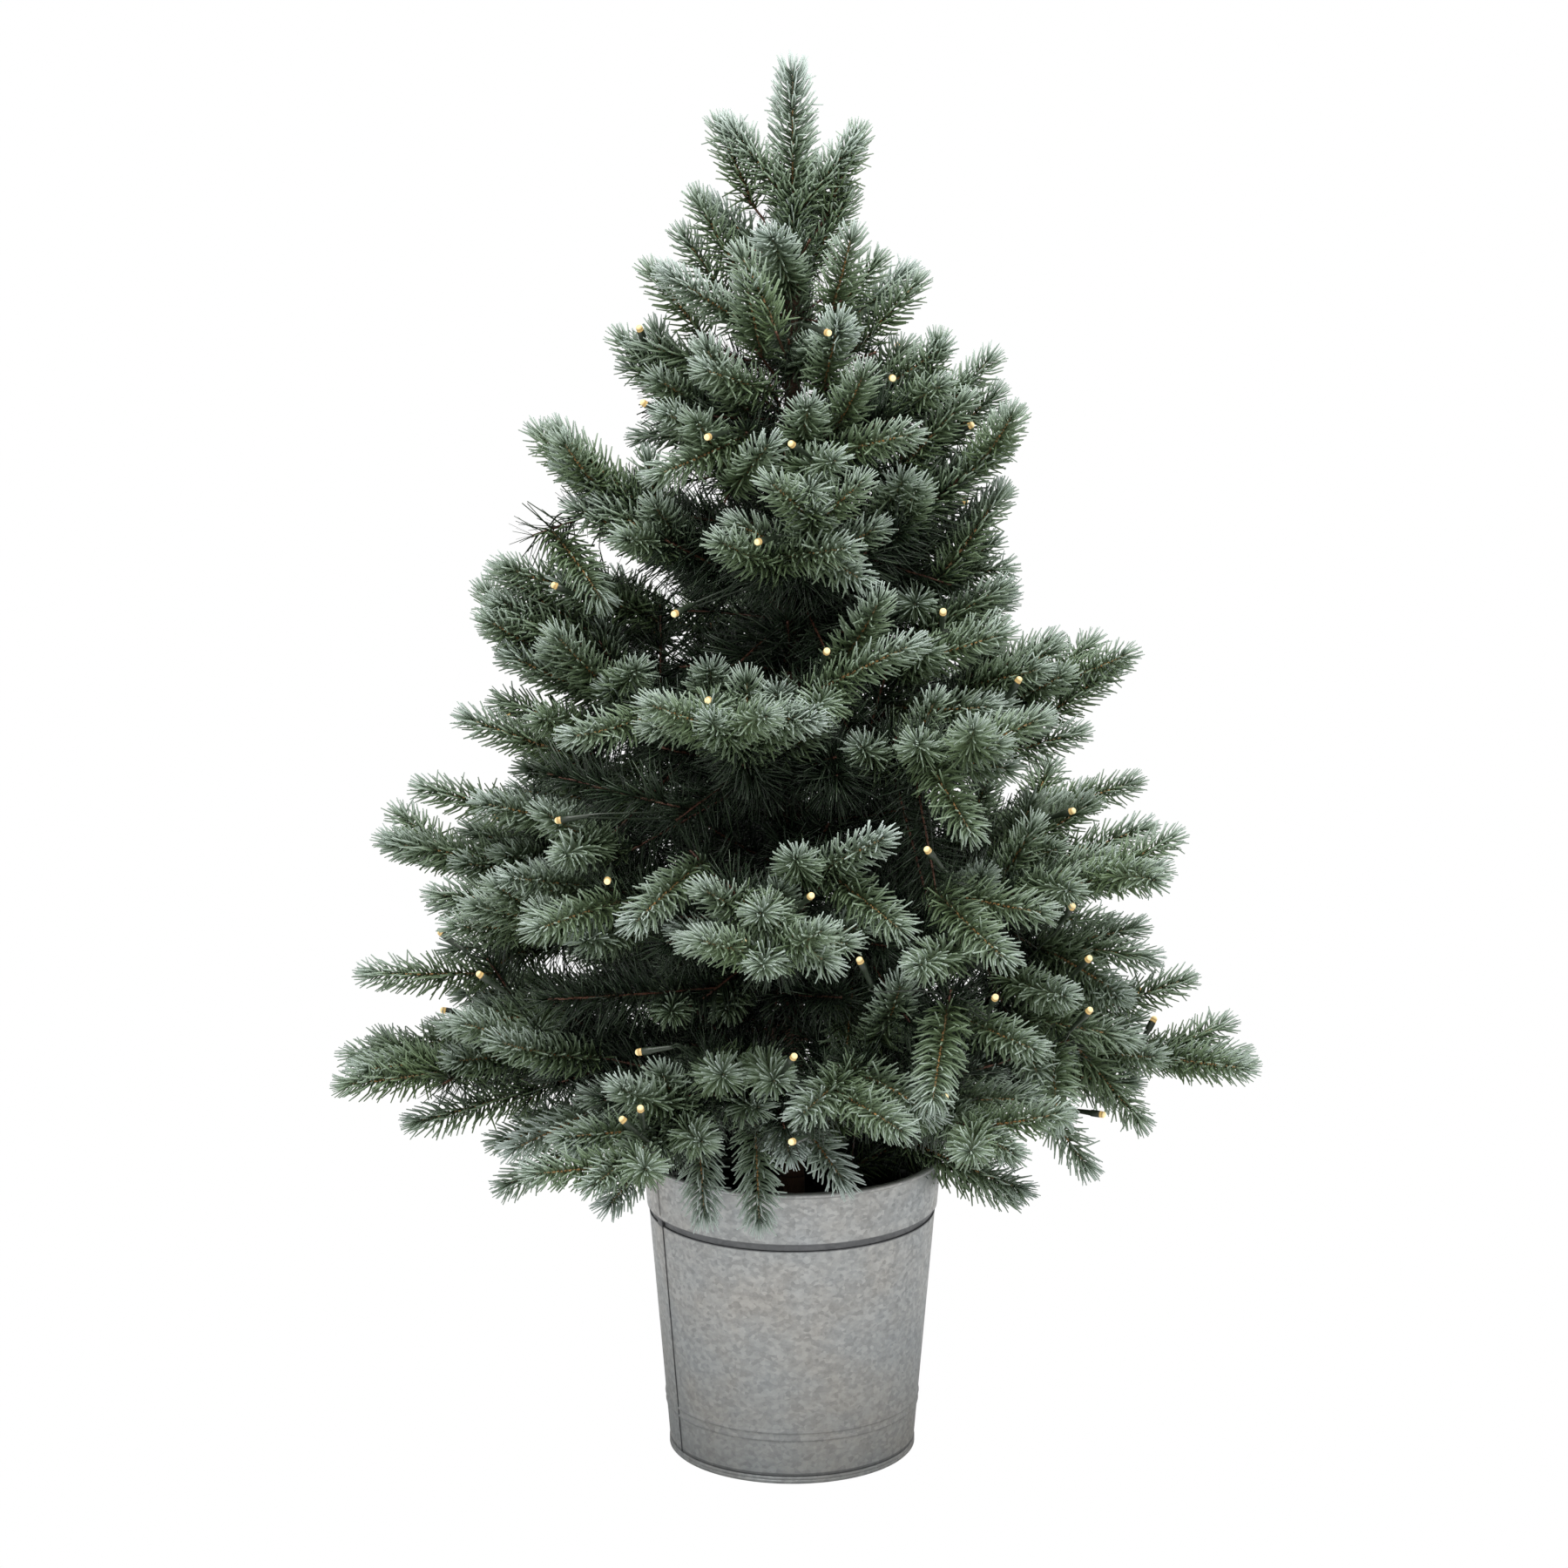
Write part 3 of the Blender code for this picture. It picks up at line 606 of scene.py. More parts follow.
def tube_object(name, lines, radius, shares=None):
    """Round wires along the lines, as one mesh with closed ends. shares thin or thicken each point."""
    curve = bpy.data.curves.new(name, "CURVE")
    curve.dimensions = "3D"
    curve.bevel_depth = radius
    curve.bevel_resolution = 0
    curve.use_fill_caps = True
    for index, line in enumerate(lines):
        spline = curve.splines.new("POLY")
        spline.points.add(len(line) - 1)
        for target, point in zip(spline.points, line):
            target.co = (*point, 1)
        if shares is not None:
            for target, share in zip(spline.points, shares[index]):
                target.radius = share
    piece = bpy.data.objects.new(name, curve)
    bpy.context.scene.collection.objects.link(piece)
    bpy.ops.object.select_all(action="DESELECT")
    piece.select_set(True)
    bpy.context.view_layer.objects.active = piece
    bpy.ops.object.convert(target="MESH")
    bpy.ops.object.shade_smooth_by_angle(angle=math.radians(60))
    return bpy.context.object


def lacquered_wire():
    """Red-brown lacquer on steel wire, a little worn."""
    made = finish_of("red_brown_wire", (0.13, 0.055, 0.035), 0.42, 0.25)
    tree = made.node_tree
    shader = tree.nodes["Principled BSDF"]
    surface = grain(tree, 500.0, 0.3, 0.0002)
    tint = ramp(tree, surface.outputs["Mask"], [(0.35, (0.075, 0.032, 0.022)), (0.65, (0.17, 0.075, 0.045))])
    tree.links.new(tint, shader.inputs["Base Color"])
    tree.links.new(surface.outputs["Normal"], shader.inputs["Normal"])
    return made


CORE_WIRE = lacquered_wire()
for branch in branches:
    wire_lines = [branch.place(line) for line in twisted_pair(branch.wire_end)]
    root_line = branch.place([(x * ROOT_RADIUS, 0, 0) for x in (-1.0, -0.8, -0.4, 0.4, 0.9, 1.3)])
    root_shares = [0.35, 0.75, 1.0, 1.0, 0.75, 0.45]
    root_shares = [share * ROOT_RADIUS / STRAND_RADIUS for share in root_shares]
    shares = [np.ones(len(line)) for line in wire_lines] + [root_shares]
    wire = tube_object(branch.name + "_twisted_wire", wire_lines + [root_line], STRAND_RADIUS, shares)
    wire.data.materials.append(CORE_WIRE)
    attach(wire, branch.name)
    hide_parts(branch.name + "_wire")

# --- Needles ----------------------------------------------------------------------------------------
# Moulded needles are soft, oval in section, blunt and curved towards the sprig's tip. Strip needles are cut
# from thin film, straight and flat. Each form is modelled once and copied along its stem.
NEEDLE_LENGTH = 0.0195
NEEDLE_THICK = 0.00086  # from its middle to a corner
NEEDLE_WIDTHS = (0.85, 1.0, 0.58)  # at its root, middle and tip
STRIP_LENGTH = 0.030
STRIP_WIDTH = 0.0015
STRIP_THICK = 0.0003
STRIP_TIP = 0.55  # its width at the tip against its root


class Pattern:
    """A modelled shape as arrays, with how far along and across it each corner lies."""

    def __init__(self, piece, along, across):
        mesh = piece.data
        count = len(mesh.vertices)
        self.points = np.empty(count * 3)
        mesh.vertices.foreach_get("co", self.points)
        self.points = self.points.reshape(-1, 3)
        self.loops = np.empty(len(mesh.loops), np.int32)
        mesh.loops.foreach_get("vertex_index", self.loops)
        self.sizes = np.empty(len(mesh.polygons), np.int32)
        mesh.polygons.foreach_get("loop_total", self.sizes)
        self.along = along(self.points)
        self.across = across(self.points)
        bpy.data.objects.remove(piece)
        bpy.data.meshes.remove(mesh)


def curved_needle(bend):
    """A three-sided needle spun along an arc of this many degrees, blunt at its tip."""
    angle = math.radians(bend)
    turn_radius = NEEDLE_LENGTH / angle
    bpy.ops.mesh.primitive_circle_add(
        vertices=3, radius=NEEDLE_THICK, fill_type="NGON", rotation=(0, math.pi / 2, 0)
    )
    piece = bpy.context.object
    bpy.ops.object.transform_apply(rotation=True)
    bpy.ops.object.mode_set(mode="EDIT")
    bpy.ops.mesh.select_all(action="SELECT")
    steps = len(NEEDLE_WIDTHS) - 1
    bpy.ops.mesh.spin(steps=steps, angle=-angle, center=(0, turn_radius, 0), axis=(0, 0, 1))
    bpy.ops.mesh.select_all(action="SELECT")
    bpy.ops.mesh.normals_make_consistent(inside=False)
    bpy.ops.object.mode_set(mode="OBJECT")
    turns = [angle * i / steps for i in range(steps + 1)]
    centres = [Vector((math.sin(turn), 1 - math.cos(turn), 0)) * turn_radius for turn in turns]
    for vertex in piece.data.vertices:
        ring = min(range(steps + 1), key=lambda i: (vertex.co - centres[i]).length)
        vertex.co = centres[ring] + (vertex.co - centres[ring]) * NEEDLE_WIDTHS[ring]
    return piece


def needle_pattern(bend):
    """The curved needle, marked along its length and with one side lighter."""
    return Pattern(
        curved_needle(bend),
        lambda p: np.clip(np.hypot(p[:, 0], p[:, 1]) / (NEEDLE_LENGTH * 0.97), 0, 1),
        lambda p: np.where(p[:, 2] > 0.0001, 1.0, 0.0),
    )


NEEDLES = [needle_pattern(46), needle_pattern(22), needle_pattern(-20)]

bpy.ops.mesh.primitive_cylinder_add(
    vertices=3, radius=0.5, depth=1, rotation=(0, math.pi / 2, 0), location=(0.5, 0, 0)
)
strip = bpy.context.object
bpy.ops.object.transform_apply(location=True, rotation=True)
for vertex in strip.data.vertices:
    vertex.co.x *= STRIP_LENGTH
    vertex.co.y *= STRIP_THICK
    vertex.co.z *= STRIP_WIDTH * (STRIP_TIP if vertex.co.x > 0.5 * STRIP_LENGTH else 1.0)
STRIP = Pattern(strip, lambda p: p[:, 0] / STRIP_LENGTH, lambda p: np.where(p[:, 2] > 0, 1.0, 0.0))

STEM_STEPS = 7
bpy.ops.mesh.primitive_cylinder_add(
    vertices=5, radius=1, depth=1, rotation=(0, math.pi / 2, 0), location=(0.5, 0, 0)
)
stem = bpy.context.object
bpy.ops.object.transform_apply(location=True, rotation=True)
bpy.ops.object.mode_set(mode="EDIT")
for cut in range(1, STEM_STEPS):
    bpy.ops.mesh.select_all(action="SELECT")
    bpy.ops.mesh.bisect(plane_co=(cut / STEM_STEPS, 0, 0), plane_no=(1, 0, 0))
bpy.ops.object.mode_set(mode="OBJECT")
STEM = Pattern(stem, lambda p: p[:, 0], lambda p: p[:, 1] * 0.5 + 0.5)


class Growth:
    """Copies of patterns gathered for one piece: corners, faces, and where each reads its finish."""

    def __init__(self):
        self.points, self.loops, self.sizes, self.marks, self.looks = [], [], [], [], []
        self.count = 0

    def add(self, pattern, points, tones, look, spread=0.012):
        """points is (copies, corners, 3) in the frame, and tones places each copy on the finish's map."""
        copies = len(points)
        shift = self.count + np.arange(copies)[:, None] * len(pattern.points)
        self.points.append(points.reshape(-1, 3))
        self.loops.append((pattern.loops[None, :] + shift).ravel())
        self.sizes.append(np.tile(pattern.sizes, copies))
        across = tones[:, None] + (pattern.across[pattern.loops][None, :] - 0.5) * spread
        along = np.broadcast_to(pattern.along[pattern.loops][None, :], across.shape)
        self.marks.append(np.stack([0.01 + 0.98 * along, across], axis=-1).reshape(-1, 2))
        self.looks.append(np.full(len(pattern.sizes) * copies, look, np.int32))
        self.count += copies * len(pattern.points)

    def piece(self, name, finishes):
        """All that was gathered, as one mesh object with its map."""
        points, loops = np.concatenate(self.points), np.concatenate(self.loops)
        sizes, marks = np.concatenate(self.sizes), np.concatenate(self.marks)
        mesh = bpy.data.meshes.new(name)
        mesh.vertices.add(len(points))
        mesh.vertices.foreach_set("co", points.astype(np.float32).ravel())
        mesh.loops.add(len(loops))
        mesh.loops.foreach_set("vertex_index", loops.astype(np.int32))
        mesh.polygons.add(len(sizes))
        mesh.polygons.foreach_set("loop_start", np.concatenate([[0], np.cumsum(sizes)[:-1]]).astype(np.int32))
        mesh.polygons.foreach_set("material_index", np.concatenate(self.looks))
        mesh.update(calc_edges=True)
        mesh.uv_layers.new(name="OFBake")
        mesh.uv_layers["OFBake"].data.foreach_set("uv", marks.astype(np.float32).ravel())
        mesh.polygons.foreach_set("use_smooth", np.ones(len(sizes), bool))
        for finish in finishes:
            mesh.materials.append(finish)
        made = bpy.data.objects.new(name, mesh)
        bpy.context.scene.collection.objects.link(made)
        return made


def map_position(tree):
    """How far along a needle or stem, and the tone of its place on the sprig."""
    mapped = node(tree, "ShaderNodeUVMap", {"uv_map": "OFBake"}).outputs["UV"]
    split = node(tree, "ShaderNodeSeparateXYZ", links={"Vector": mapped})
    return mapped, split.outputs["X"], split.outputs["Y"]


def frosted_needle():
    """Soft moulded plastic, green at the needle's root and dusted pale blue-green towards its tip."""
    made = finish_of("frosted_needle", (0.2, 0.3, 0.25), 0.62)
    tree = made.node_tree
    shader = tree.nodes["Principled BSDF"]
    mapped, along, tone = map_position(tree)
    reach = node(tree, "ShaderNodeMath", {"operation": "MULTIPLY"}, {1: 0.30}, {0: along}).outputs["Value"]
    dusted = node(tree, "ShaderNodeMath", {"operation": "MULTIPLY_ADD"}, {1: 0.72, 2: -0.06}, {0: tone})
    frost = node(
        tree, "ShaderNodeMath", {"operation": "ADD"}, links={0: reach, 1: dusted.outputs["Value"]}
    ).outputs["Value"]
    speck = node(
        tree,
        "ShaderNodeTexNoise",
        values={"Scale": 55.0, "Detail": 2.0, "Roughness": 0.6},
        links={"Vector": mapped},
    ).outputs["Fac"]
    speck = node(
        tree,
        "ShaderNodeMapRange",
        values={"From Min": 0.3, "From Max": 0.7, "To Min": -0.09, "To Max": 0.09},
        links={"Value": speck},
    ).outputs["Result"]
    frost = node(tree, "ShaderNodeMath", {"operation": "ADD"}, links={0: frost, 1: speck}).outputs["Value"]
    tint = ramp(
        tree,
        frost,
        [
            (0.0, (0.042, 0.068, 0.024)),
            (0.28, (0.092, 0.142, 0.056)),
            (0.50, (0.180, 0.250, 0.150)),
            (0.75, (0.340, 0.415, 0.355)),
            (1.0, (0.580, 0.655, 0.635)),
        ],
    )
    tree.links.new(tint, shader.inputs["Base Color"])
    return made


def sprig_stem():
    """Moulded brown stem, green where it leaves the twig and at its tip."""
    made = finish_of("sprig_stem", (0.2, 0.13, 0.05), 0.6)
    tree = made.node_tree
    shader = tree.nodes["Principled BSDF"]
    _, along, _ = map_position(tree)
    tint = ramp(
        tree,
        along,
        [
            (0.0, (0.075, 0.065, 0.030)),
            (0.35, (0.24, 0.13, 0.045)),
            (0.7, (0.40, 0.21, 0.07)),
            (1.0, (0.20, 0.20, 0.12)),
        ],
    )
    tree.links.new(tint, shader.inputs["Base Color"])
    return made


def strip_film():
    """Dark green film, glossy enough to catch the light."""
    made = finish_of("green_film", (0.02, 0.045, 0.025), 0.28)
    tree = made.node_tree
    shader = tree.nodes["Principled BSDF"]
    _, along, tone = map_position(tree)
    tint = ramp(
        tree,
        tone,
        [(0.0, (0.010, 0.020, 0.010)), (0.5, (0.024, 0.042, 0.022)), (1.0, (0.075, 0.108, 0.062))],
    )
    tree.links.new(tint, shader.inputs["Base Color"])
    sheen = node(
        tree,
        "ShaderNodeMapRange",
        values={"From Min": 0.0, "From Max": 1.0, "To Min": 0.40, "To Max": 0.22},
        links={"Value": along},
    )
    tree.links.new(sheen.outputs["Result"], shader.inputs["Roughness"])
    return made


FROSTED = frosted_needle()
SPRIG_STEM = sprig_stem()
FILM = strip_film()

# --- Sprigs -----------------------------------------------------------------------------------------
# A moulded sprig is a thin stem with whorls of needles, frosted at its tip. Strip twigs are strips of film
# caught in a twisted wire. Both are bound to the branch's core wire and bend a little on their own.
ROW_STEP = 0.0026
NEEDLES_IN_ROW = 6
ROW_TURN = 0.62  # radians that each row is turned past the one before
TIP_NEEDLE = 0.0125
TIP_NEEDLES = 13
FLATTEN = -0.22  # draws the needles out to the sprig's two sides
STEM_RADIUS = 0.00095
STRIP_STEP = 0.0020
STRIPS_IN_ROW = 4
ACROSS_STEM = 0.9  # how much of the finish's map one stem or lamp takes up


def bent(points, angle):
    """Points along +X bent upwards as an arc, angle radians per metre."""
    if abs(angle) < 1e-6:
        return points
    x, y, z = points[..., 0], points[..., 1], points[..., 2]
    turn = angle * x
    out = np.sin(turn) / angle - z * np.sin(turn)
    up = (1 - np.cos(turn)) / angle + z * np.cos(turn)
    return np.stack([out, y, up], axis=-1)


def sprig_axes(direction):
    """Axes of a sprig along this direction, its upper side up."""
    out = np.asarray(direction, float)
    out = out / np.linalg.norm(out)
    left = np.cross((0, 0, 1), out)
    if np.linalg.norm(left) < 0.05:
        left = np.array([-1.0, 0.0, 0.0])
    left /= np.linalg.norm(left)
    return np.array([out, left, np.cross(out, left)])


def needle_copies(pattern, roots, lean, ring, size, roll):
    """Copies of a needle: roots on the stem, lean from the stem, ring angle round it, and roll."""
    radial = np.stack([np.zeros_like(ring), np.sin(ring), np.cos(ring)], axis=1)
    along = np.array([1.0, 0, 0])
    first = np.cos(lean)[:, None] * along + np.sin(lean)[:, None] * radial
    second = np.sin(lean)[:, None] * along - np.cos(lean)[:, None] * radial
    third = np.cross(first, second)
    turned_second = np.cos(roll)[:, None] * second + np.sin(roll)[:, None] * third
    turned_third = np.cross(first, turned_second)
    axes = np.stack([first, turned_second, turned_third], axis=1)
    return roots[:, None, :] + np.einsum("pk,nkj->npj", pattern.points, axes) * size[:, None, None]


def moulded_sprig(growth, rng, start, direction, length, tone=0.0, bend=0.0, step=ROW_STEP):
    """Adds one moulded sprig. tone lifts its frost and carries the painted light and painted shade that some
    callers give; bend curves it up and step is between its rows.
    """
    stem_length = length - TIP_NEEDLE
    rows = max(4, int(stem_length / step))
    number = np.arange(rows * NEEDLES_IN_ROW)
    row = number // NEEDLES_IN_ROW
    share = np.clip((row + rng.random(len(number)) * 0.6) / rows, 0, 1)
    ring = number * 2 * math.pi / NEEDLES_IN_ROW + row * ROW_TURN + rng.normal(0, 0.07, len(number))
    ring -= FLATTEN * np.sin(2 * ring)
    lean = np.interp(share, [0, 0.3, 0.8, 1], [84, 80, 70, 50]) + rng.normal(0, 3.0, len(share))
    size = np.interp(share, [0, 0.12, 0.45, 0.85, 1], [0.74, 0.94, 1.0, 0.92, 0.78])
    size *= (0.84 + 0.16 * np.abs(np.sin(ring))) * rng.normal(1, 0.028, len(share))
    size *= min(1.0, 0.78 + length * 2.6)
    tip = np.arange(TIP_NEEDLES)
    share = np.concatenate([share, np.full(TIP_NEEDLES, 1.0)])
    ring = np.concatenate([ring, tip * 2.4 + rng.random(TIP_NEEDLES) * 0.3])
    lean = np.concatenate([lean, np.where(tip % 3, 44, 18) + rng.normal(0, 5, TIP_NEEDLES)])
    lean = np.radians(lean)
    size = np.concatenate([size, rng.normal(TIP_NEEDLE / NEEDLE_LENGTH, 0.03, TIP_NEEDLES)])
    radial = np.stack([np.zeros_like(ring), np.sin(ring), np.cos(ring)], axis=1)
    roots = radial * STEM_RADIUS * 0.5
    roots[:, 0] = stem_length * share
    axes = sprig_axes(direction)
    # Needles that point up get a lighter tone and those that point down a darker one: painted light from
    # above and painted shade beneath.
    upward_painted_light = np.cos(ring) * np.sin(lean) * axes[2][2]
    tones = 0.17 + tone + 0.56 * share**1.3 + 0.13 * upward_painted_light + rng.normal(0, 0.045, len(share))
    tones = np.clip(tones, 0.01, 0.985)
    roll = rng.normal(0, 0.28, len(share))
    form = rng.choice(len(NEEDLES), len(share), p=[0.72, 0.22, 0.06])
    form[-TIP_NEEDLES:] = 1
    curve = bend / max(length, 0.001)
    for kind, pattern in enumerate(NEEDLES):
        pick = form == kind
        if pick.any():
            local = needle_copies(pattern, roots[pick], lean[pick], ring[pick], size[pick], roll[pick])
            growth.add(pattern, np.asarray(start) + bent(local, curve) @ axes, tones[pick], 0)
    stem_points = STEM.points * (stem_length + 0.002, 1, 1)
    thick = STEM_RADIUS * (1.15 - 0.7 * STEM.points[:, 0])
    stem_points = stem_points * np.stack([np.ones_like(thick), thick, thick], axis=1)
    stem_points = np.asarray(start) + bent(stem_points, curve) @ axes
    growth.add(STEM, stem_points[None], np.array([0.5]), 1, ACROSS_STEM)


def strip_twig(growth, rng, start, direction, length, bend=0.0, reach=1.0, density=1.0):
    """Adds strips of film radiating from a twisted wire, and the wire."""
    rows = max(3, int(length / STRIP_STEP * density))
    count = rows * STRIPS_IN_ROW
    share = (np.arange(count) // STRIPS_IN_ROW + rng.random(count)) / rows
    ring = rng.random(count) * 2 * math.pi
    lean = np.radians(np.interp(share, [0, 0.8, 1], [68, 56, 34]) + rng.normal(0, 9, count))
    size = reach * np.interp(share, [0, 0.1, 0.8, 1], [0.8, 1.0, 0.95, 0.7]) * rng.normal(1, 0.08, count)
    roots = np.zeros((count, 3))
    roots[:, 0] = share * length
    axes = sprig_axes(direction)
    local = needle_copies(STRIP, roots, lean, ring, size, rng.random(count) * 2 * math.pi)
    curve = bend / max(length, 0.001)
    tones = np.clip(rng.normal(0.5, 0.2, count), 0.02, 0.98)
    growth.add(STRIP, np.asarray(start) + bent(local, curve) @ axes, tones, 0)
    thick = STEM_RADIUS * 0.8
    core = np.asarray(start) + bent(STEM.points * (length, thick, thick), curve) @ axes
    growth.add(STEM, core[None], np.array([0.5]), 1, ACROSS_STEM)


def towards(yaw, lift):
    """Unit vector at these degrees to the left of +X and above the XY plane."""
    yaw, lift = math.radians(yaw), math.radians(lift)
    return np.array([math.cos(lift) * math.cos(yaw), math.cos(lift) * math.sin(yaw), math.sin(lift)])


# Side sprigs stand where the branch's plain solid has them: the first and the last as shares of its length
SIDE_STAGGER = 0.011
FIRST_SPRIG = 0.36
LAST_SPRIG = 0.76
SIDE_LENGTH = 0.084
TOP_LENGTH = 0.066


def side_sprigs(length):
    """(start, yaw, lift, length) of the sprigs that the branch's solid shows."""
    pairs = 3 if length > 0.20 else 2 if length > 0.13 else 1
    scale = min(1.0, 0.55 + 0.45 * length / 0.25)
    found = []
    for i in range(pairs):
        along = i / (pairs - 1) if pairs > 1 else 0.15
        start = length * (FIRST_SPRIG + (LAST_SPRIG - FIRST_SPRIG) * along)
        yaw = 50 - 14 * along
        reach = SIDE_LENGTH * scale * (1 - 0.14 * along)
        found.append((start, yaw, 8 + 4 * along, reach))
        found.append((start + SIDE_STAGGER, -yaw, 12 - 4 * along, reach))
    found.append((length * (0.50 if pairs > 1 else 0.64), 6, 44, TOP_LENGTH * scale))
    return found


# --- Twigs ------------------------------------------------------------------------------------------
# Between the branches' own side sprigs, twigs of strip needles are bound on. Each ends in a moulded sprig.
# At the sides and the back they are spread evenly over a cone, and at the front each is listed.
FILL_COUNT = 108  # spread over the cone, less those that would come at the front
INNER_COUNT = 40  # short ones deeper in, their tone lowered as painted shade
GOLDEN_ANGLE = 137.508
FILL_LOW, FILL_HIGH = 0.190, 0.745
LEADER_ZONE = 0.715  # above this height a twig is bound to the leader
# Height, then how far the tips reach at the left, at the right and at the front
FULLNESS = [
    (0.185, 0.170, 0.150, 0.150),
    (0.225, 0.238, 0.215, 0.200),
    (0.265, 0.272, 0.272, 0.255),
    (0.340, 0.262, 0.246, 0.250),
    (0.400, 0.250, 0.226, 0.235),
    (0.460, 0.222, 0.190, 0.205),
    (0.520, 0.190, 0.188, 0.185),
    (0.580, 0.176, 0.150, 0.160),
    (0.640, 0.142, 0.134, 0.135),
    (0.700, 0.126, 0.122, 0.120),
    (0.760, 0.094, 0.086, 0.088),
    (0.820, 0.060, 0.048, 0.052),
    (0.870, 0.036, 0.036, 0.036),
    (0.900, 0.010, 0.010, 0.010),
]
# Height, and there the rise of the sprigs in degrees, their length and the reach of their strip needles
RISE = [
    (0.18, -34),
    (0.23, -18),
    (0.28, -4),
    (0.36, 8),
    (0.46, 18),
    (0.56, 28),
    (0.66, 36),
    (0.76, 46),
    (0.88, 64),
]
SPRIG_LENGTHS = [(0.20, 0.095), (0.60, 0.085), (0.80, 0.066)]
STRIP_REACH = [(0.58, 0.92), (0.66, 0.60), (0.74, 0.30)]
# Ends of the sprigs that stand out at the left, then at the right (x, y, z), and their rise
STANDING_OUT = [
    (-0.285, 0.01, 0.255, -13),
    (-0.280, -0.02, 0.320, 0),
    (-0.250, -0.04, 0.225, -14),
    (-0.190, -0.07, 0.190, -24),
    (-0.265, 0.01, 0.400, 8),
    (-0.235, -0.03, 0.375, 4),
    (-0.245, 0.00, 0.440, 14),
    (-0.215, -0.02, 0.490, 20),
    (-0.190, 0.02, 0.520, 12),
    (-0.195, -0.01, 0.560, 24),
    (-0.195, 0.01, 0.580, 32),
    (-0.145, -0.02, 0.625, 26),
    (-0.155, 0.01, 0.655, 34),
    (-0.155, -0.01, 0.675, 42),
    (-0.115, 0.01, 0.730, 44),
    (-0.095, -0.01, 0.775, 50),
    (-0.075, 0.01, 0.795, 52),
    (-0.065, 0.00, 0.820, 60),
    (-0.050, 0.00, 0.865, 66),
    (0.300, 0.00, 0.260, -3),
    (0.260, -0.02, 0.320, 20),
    (0.190, -0.09, 0.205, -52),
    (0.225, -0.07, 0.230, -48),
    (0.155, -0.06, 0.185, -18),
    (0.150, -0.03, 0.170, -24),
    (0.150, -0.02, 0.220, -22),
    (0.230, -0.01, 0.350, 12),
    (0.225, 0.02, 0.380, 6),
    (0.235, 0.00, 0.415, 20),
    (0.190, -0.02, 0.480, 16),
    (0.215, 0.01, 0.520, 34),
    (0.175, -0.01, 0.535, 30),
    (0.145, 0.02, 0.560, 22),
    (0.140, -0.02, 0.575, 30),
    (0.140, 0.01, 0.630, 34),
    (0.125, -0.01, 0.655, 30),
    (0.135, 0.01, 0.695, 42),
    (0.130, -0.01, 0.720, 48),
    (0.085, 0.01, 0.765, 46),
    (0.060, 0.00, 0.780, 50),
    (0.040, 0.00, 0.820, 60),
    (0.045, 0.00, 0.860, 68),
]
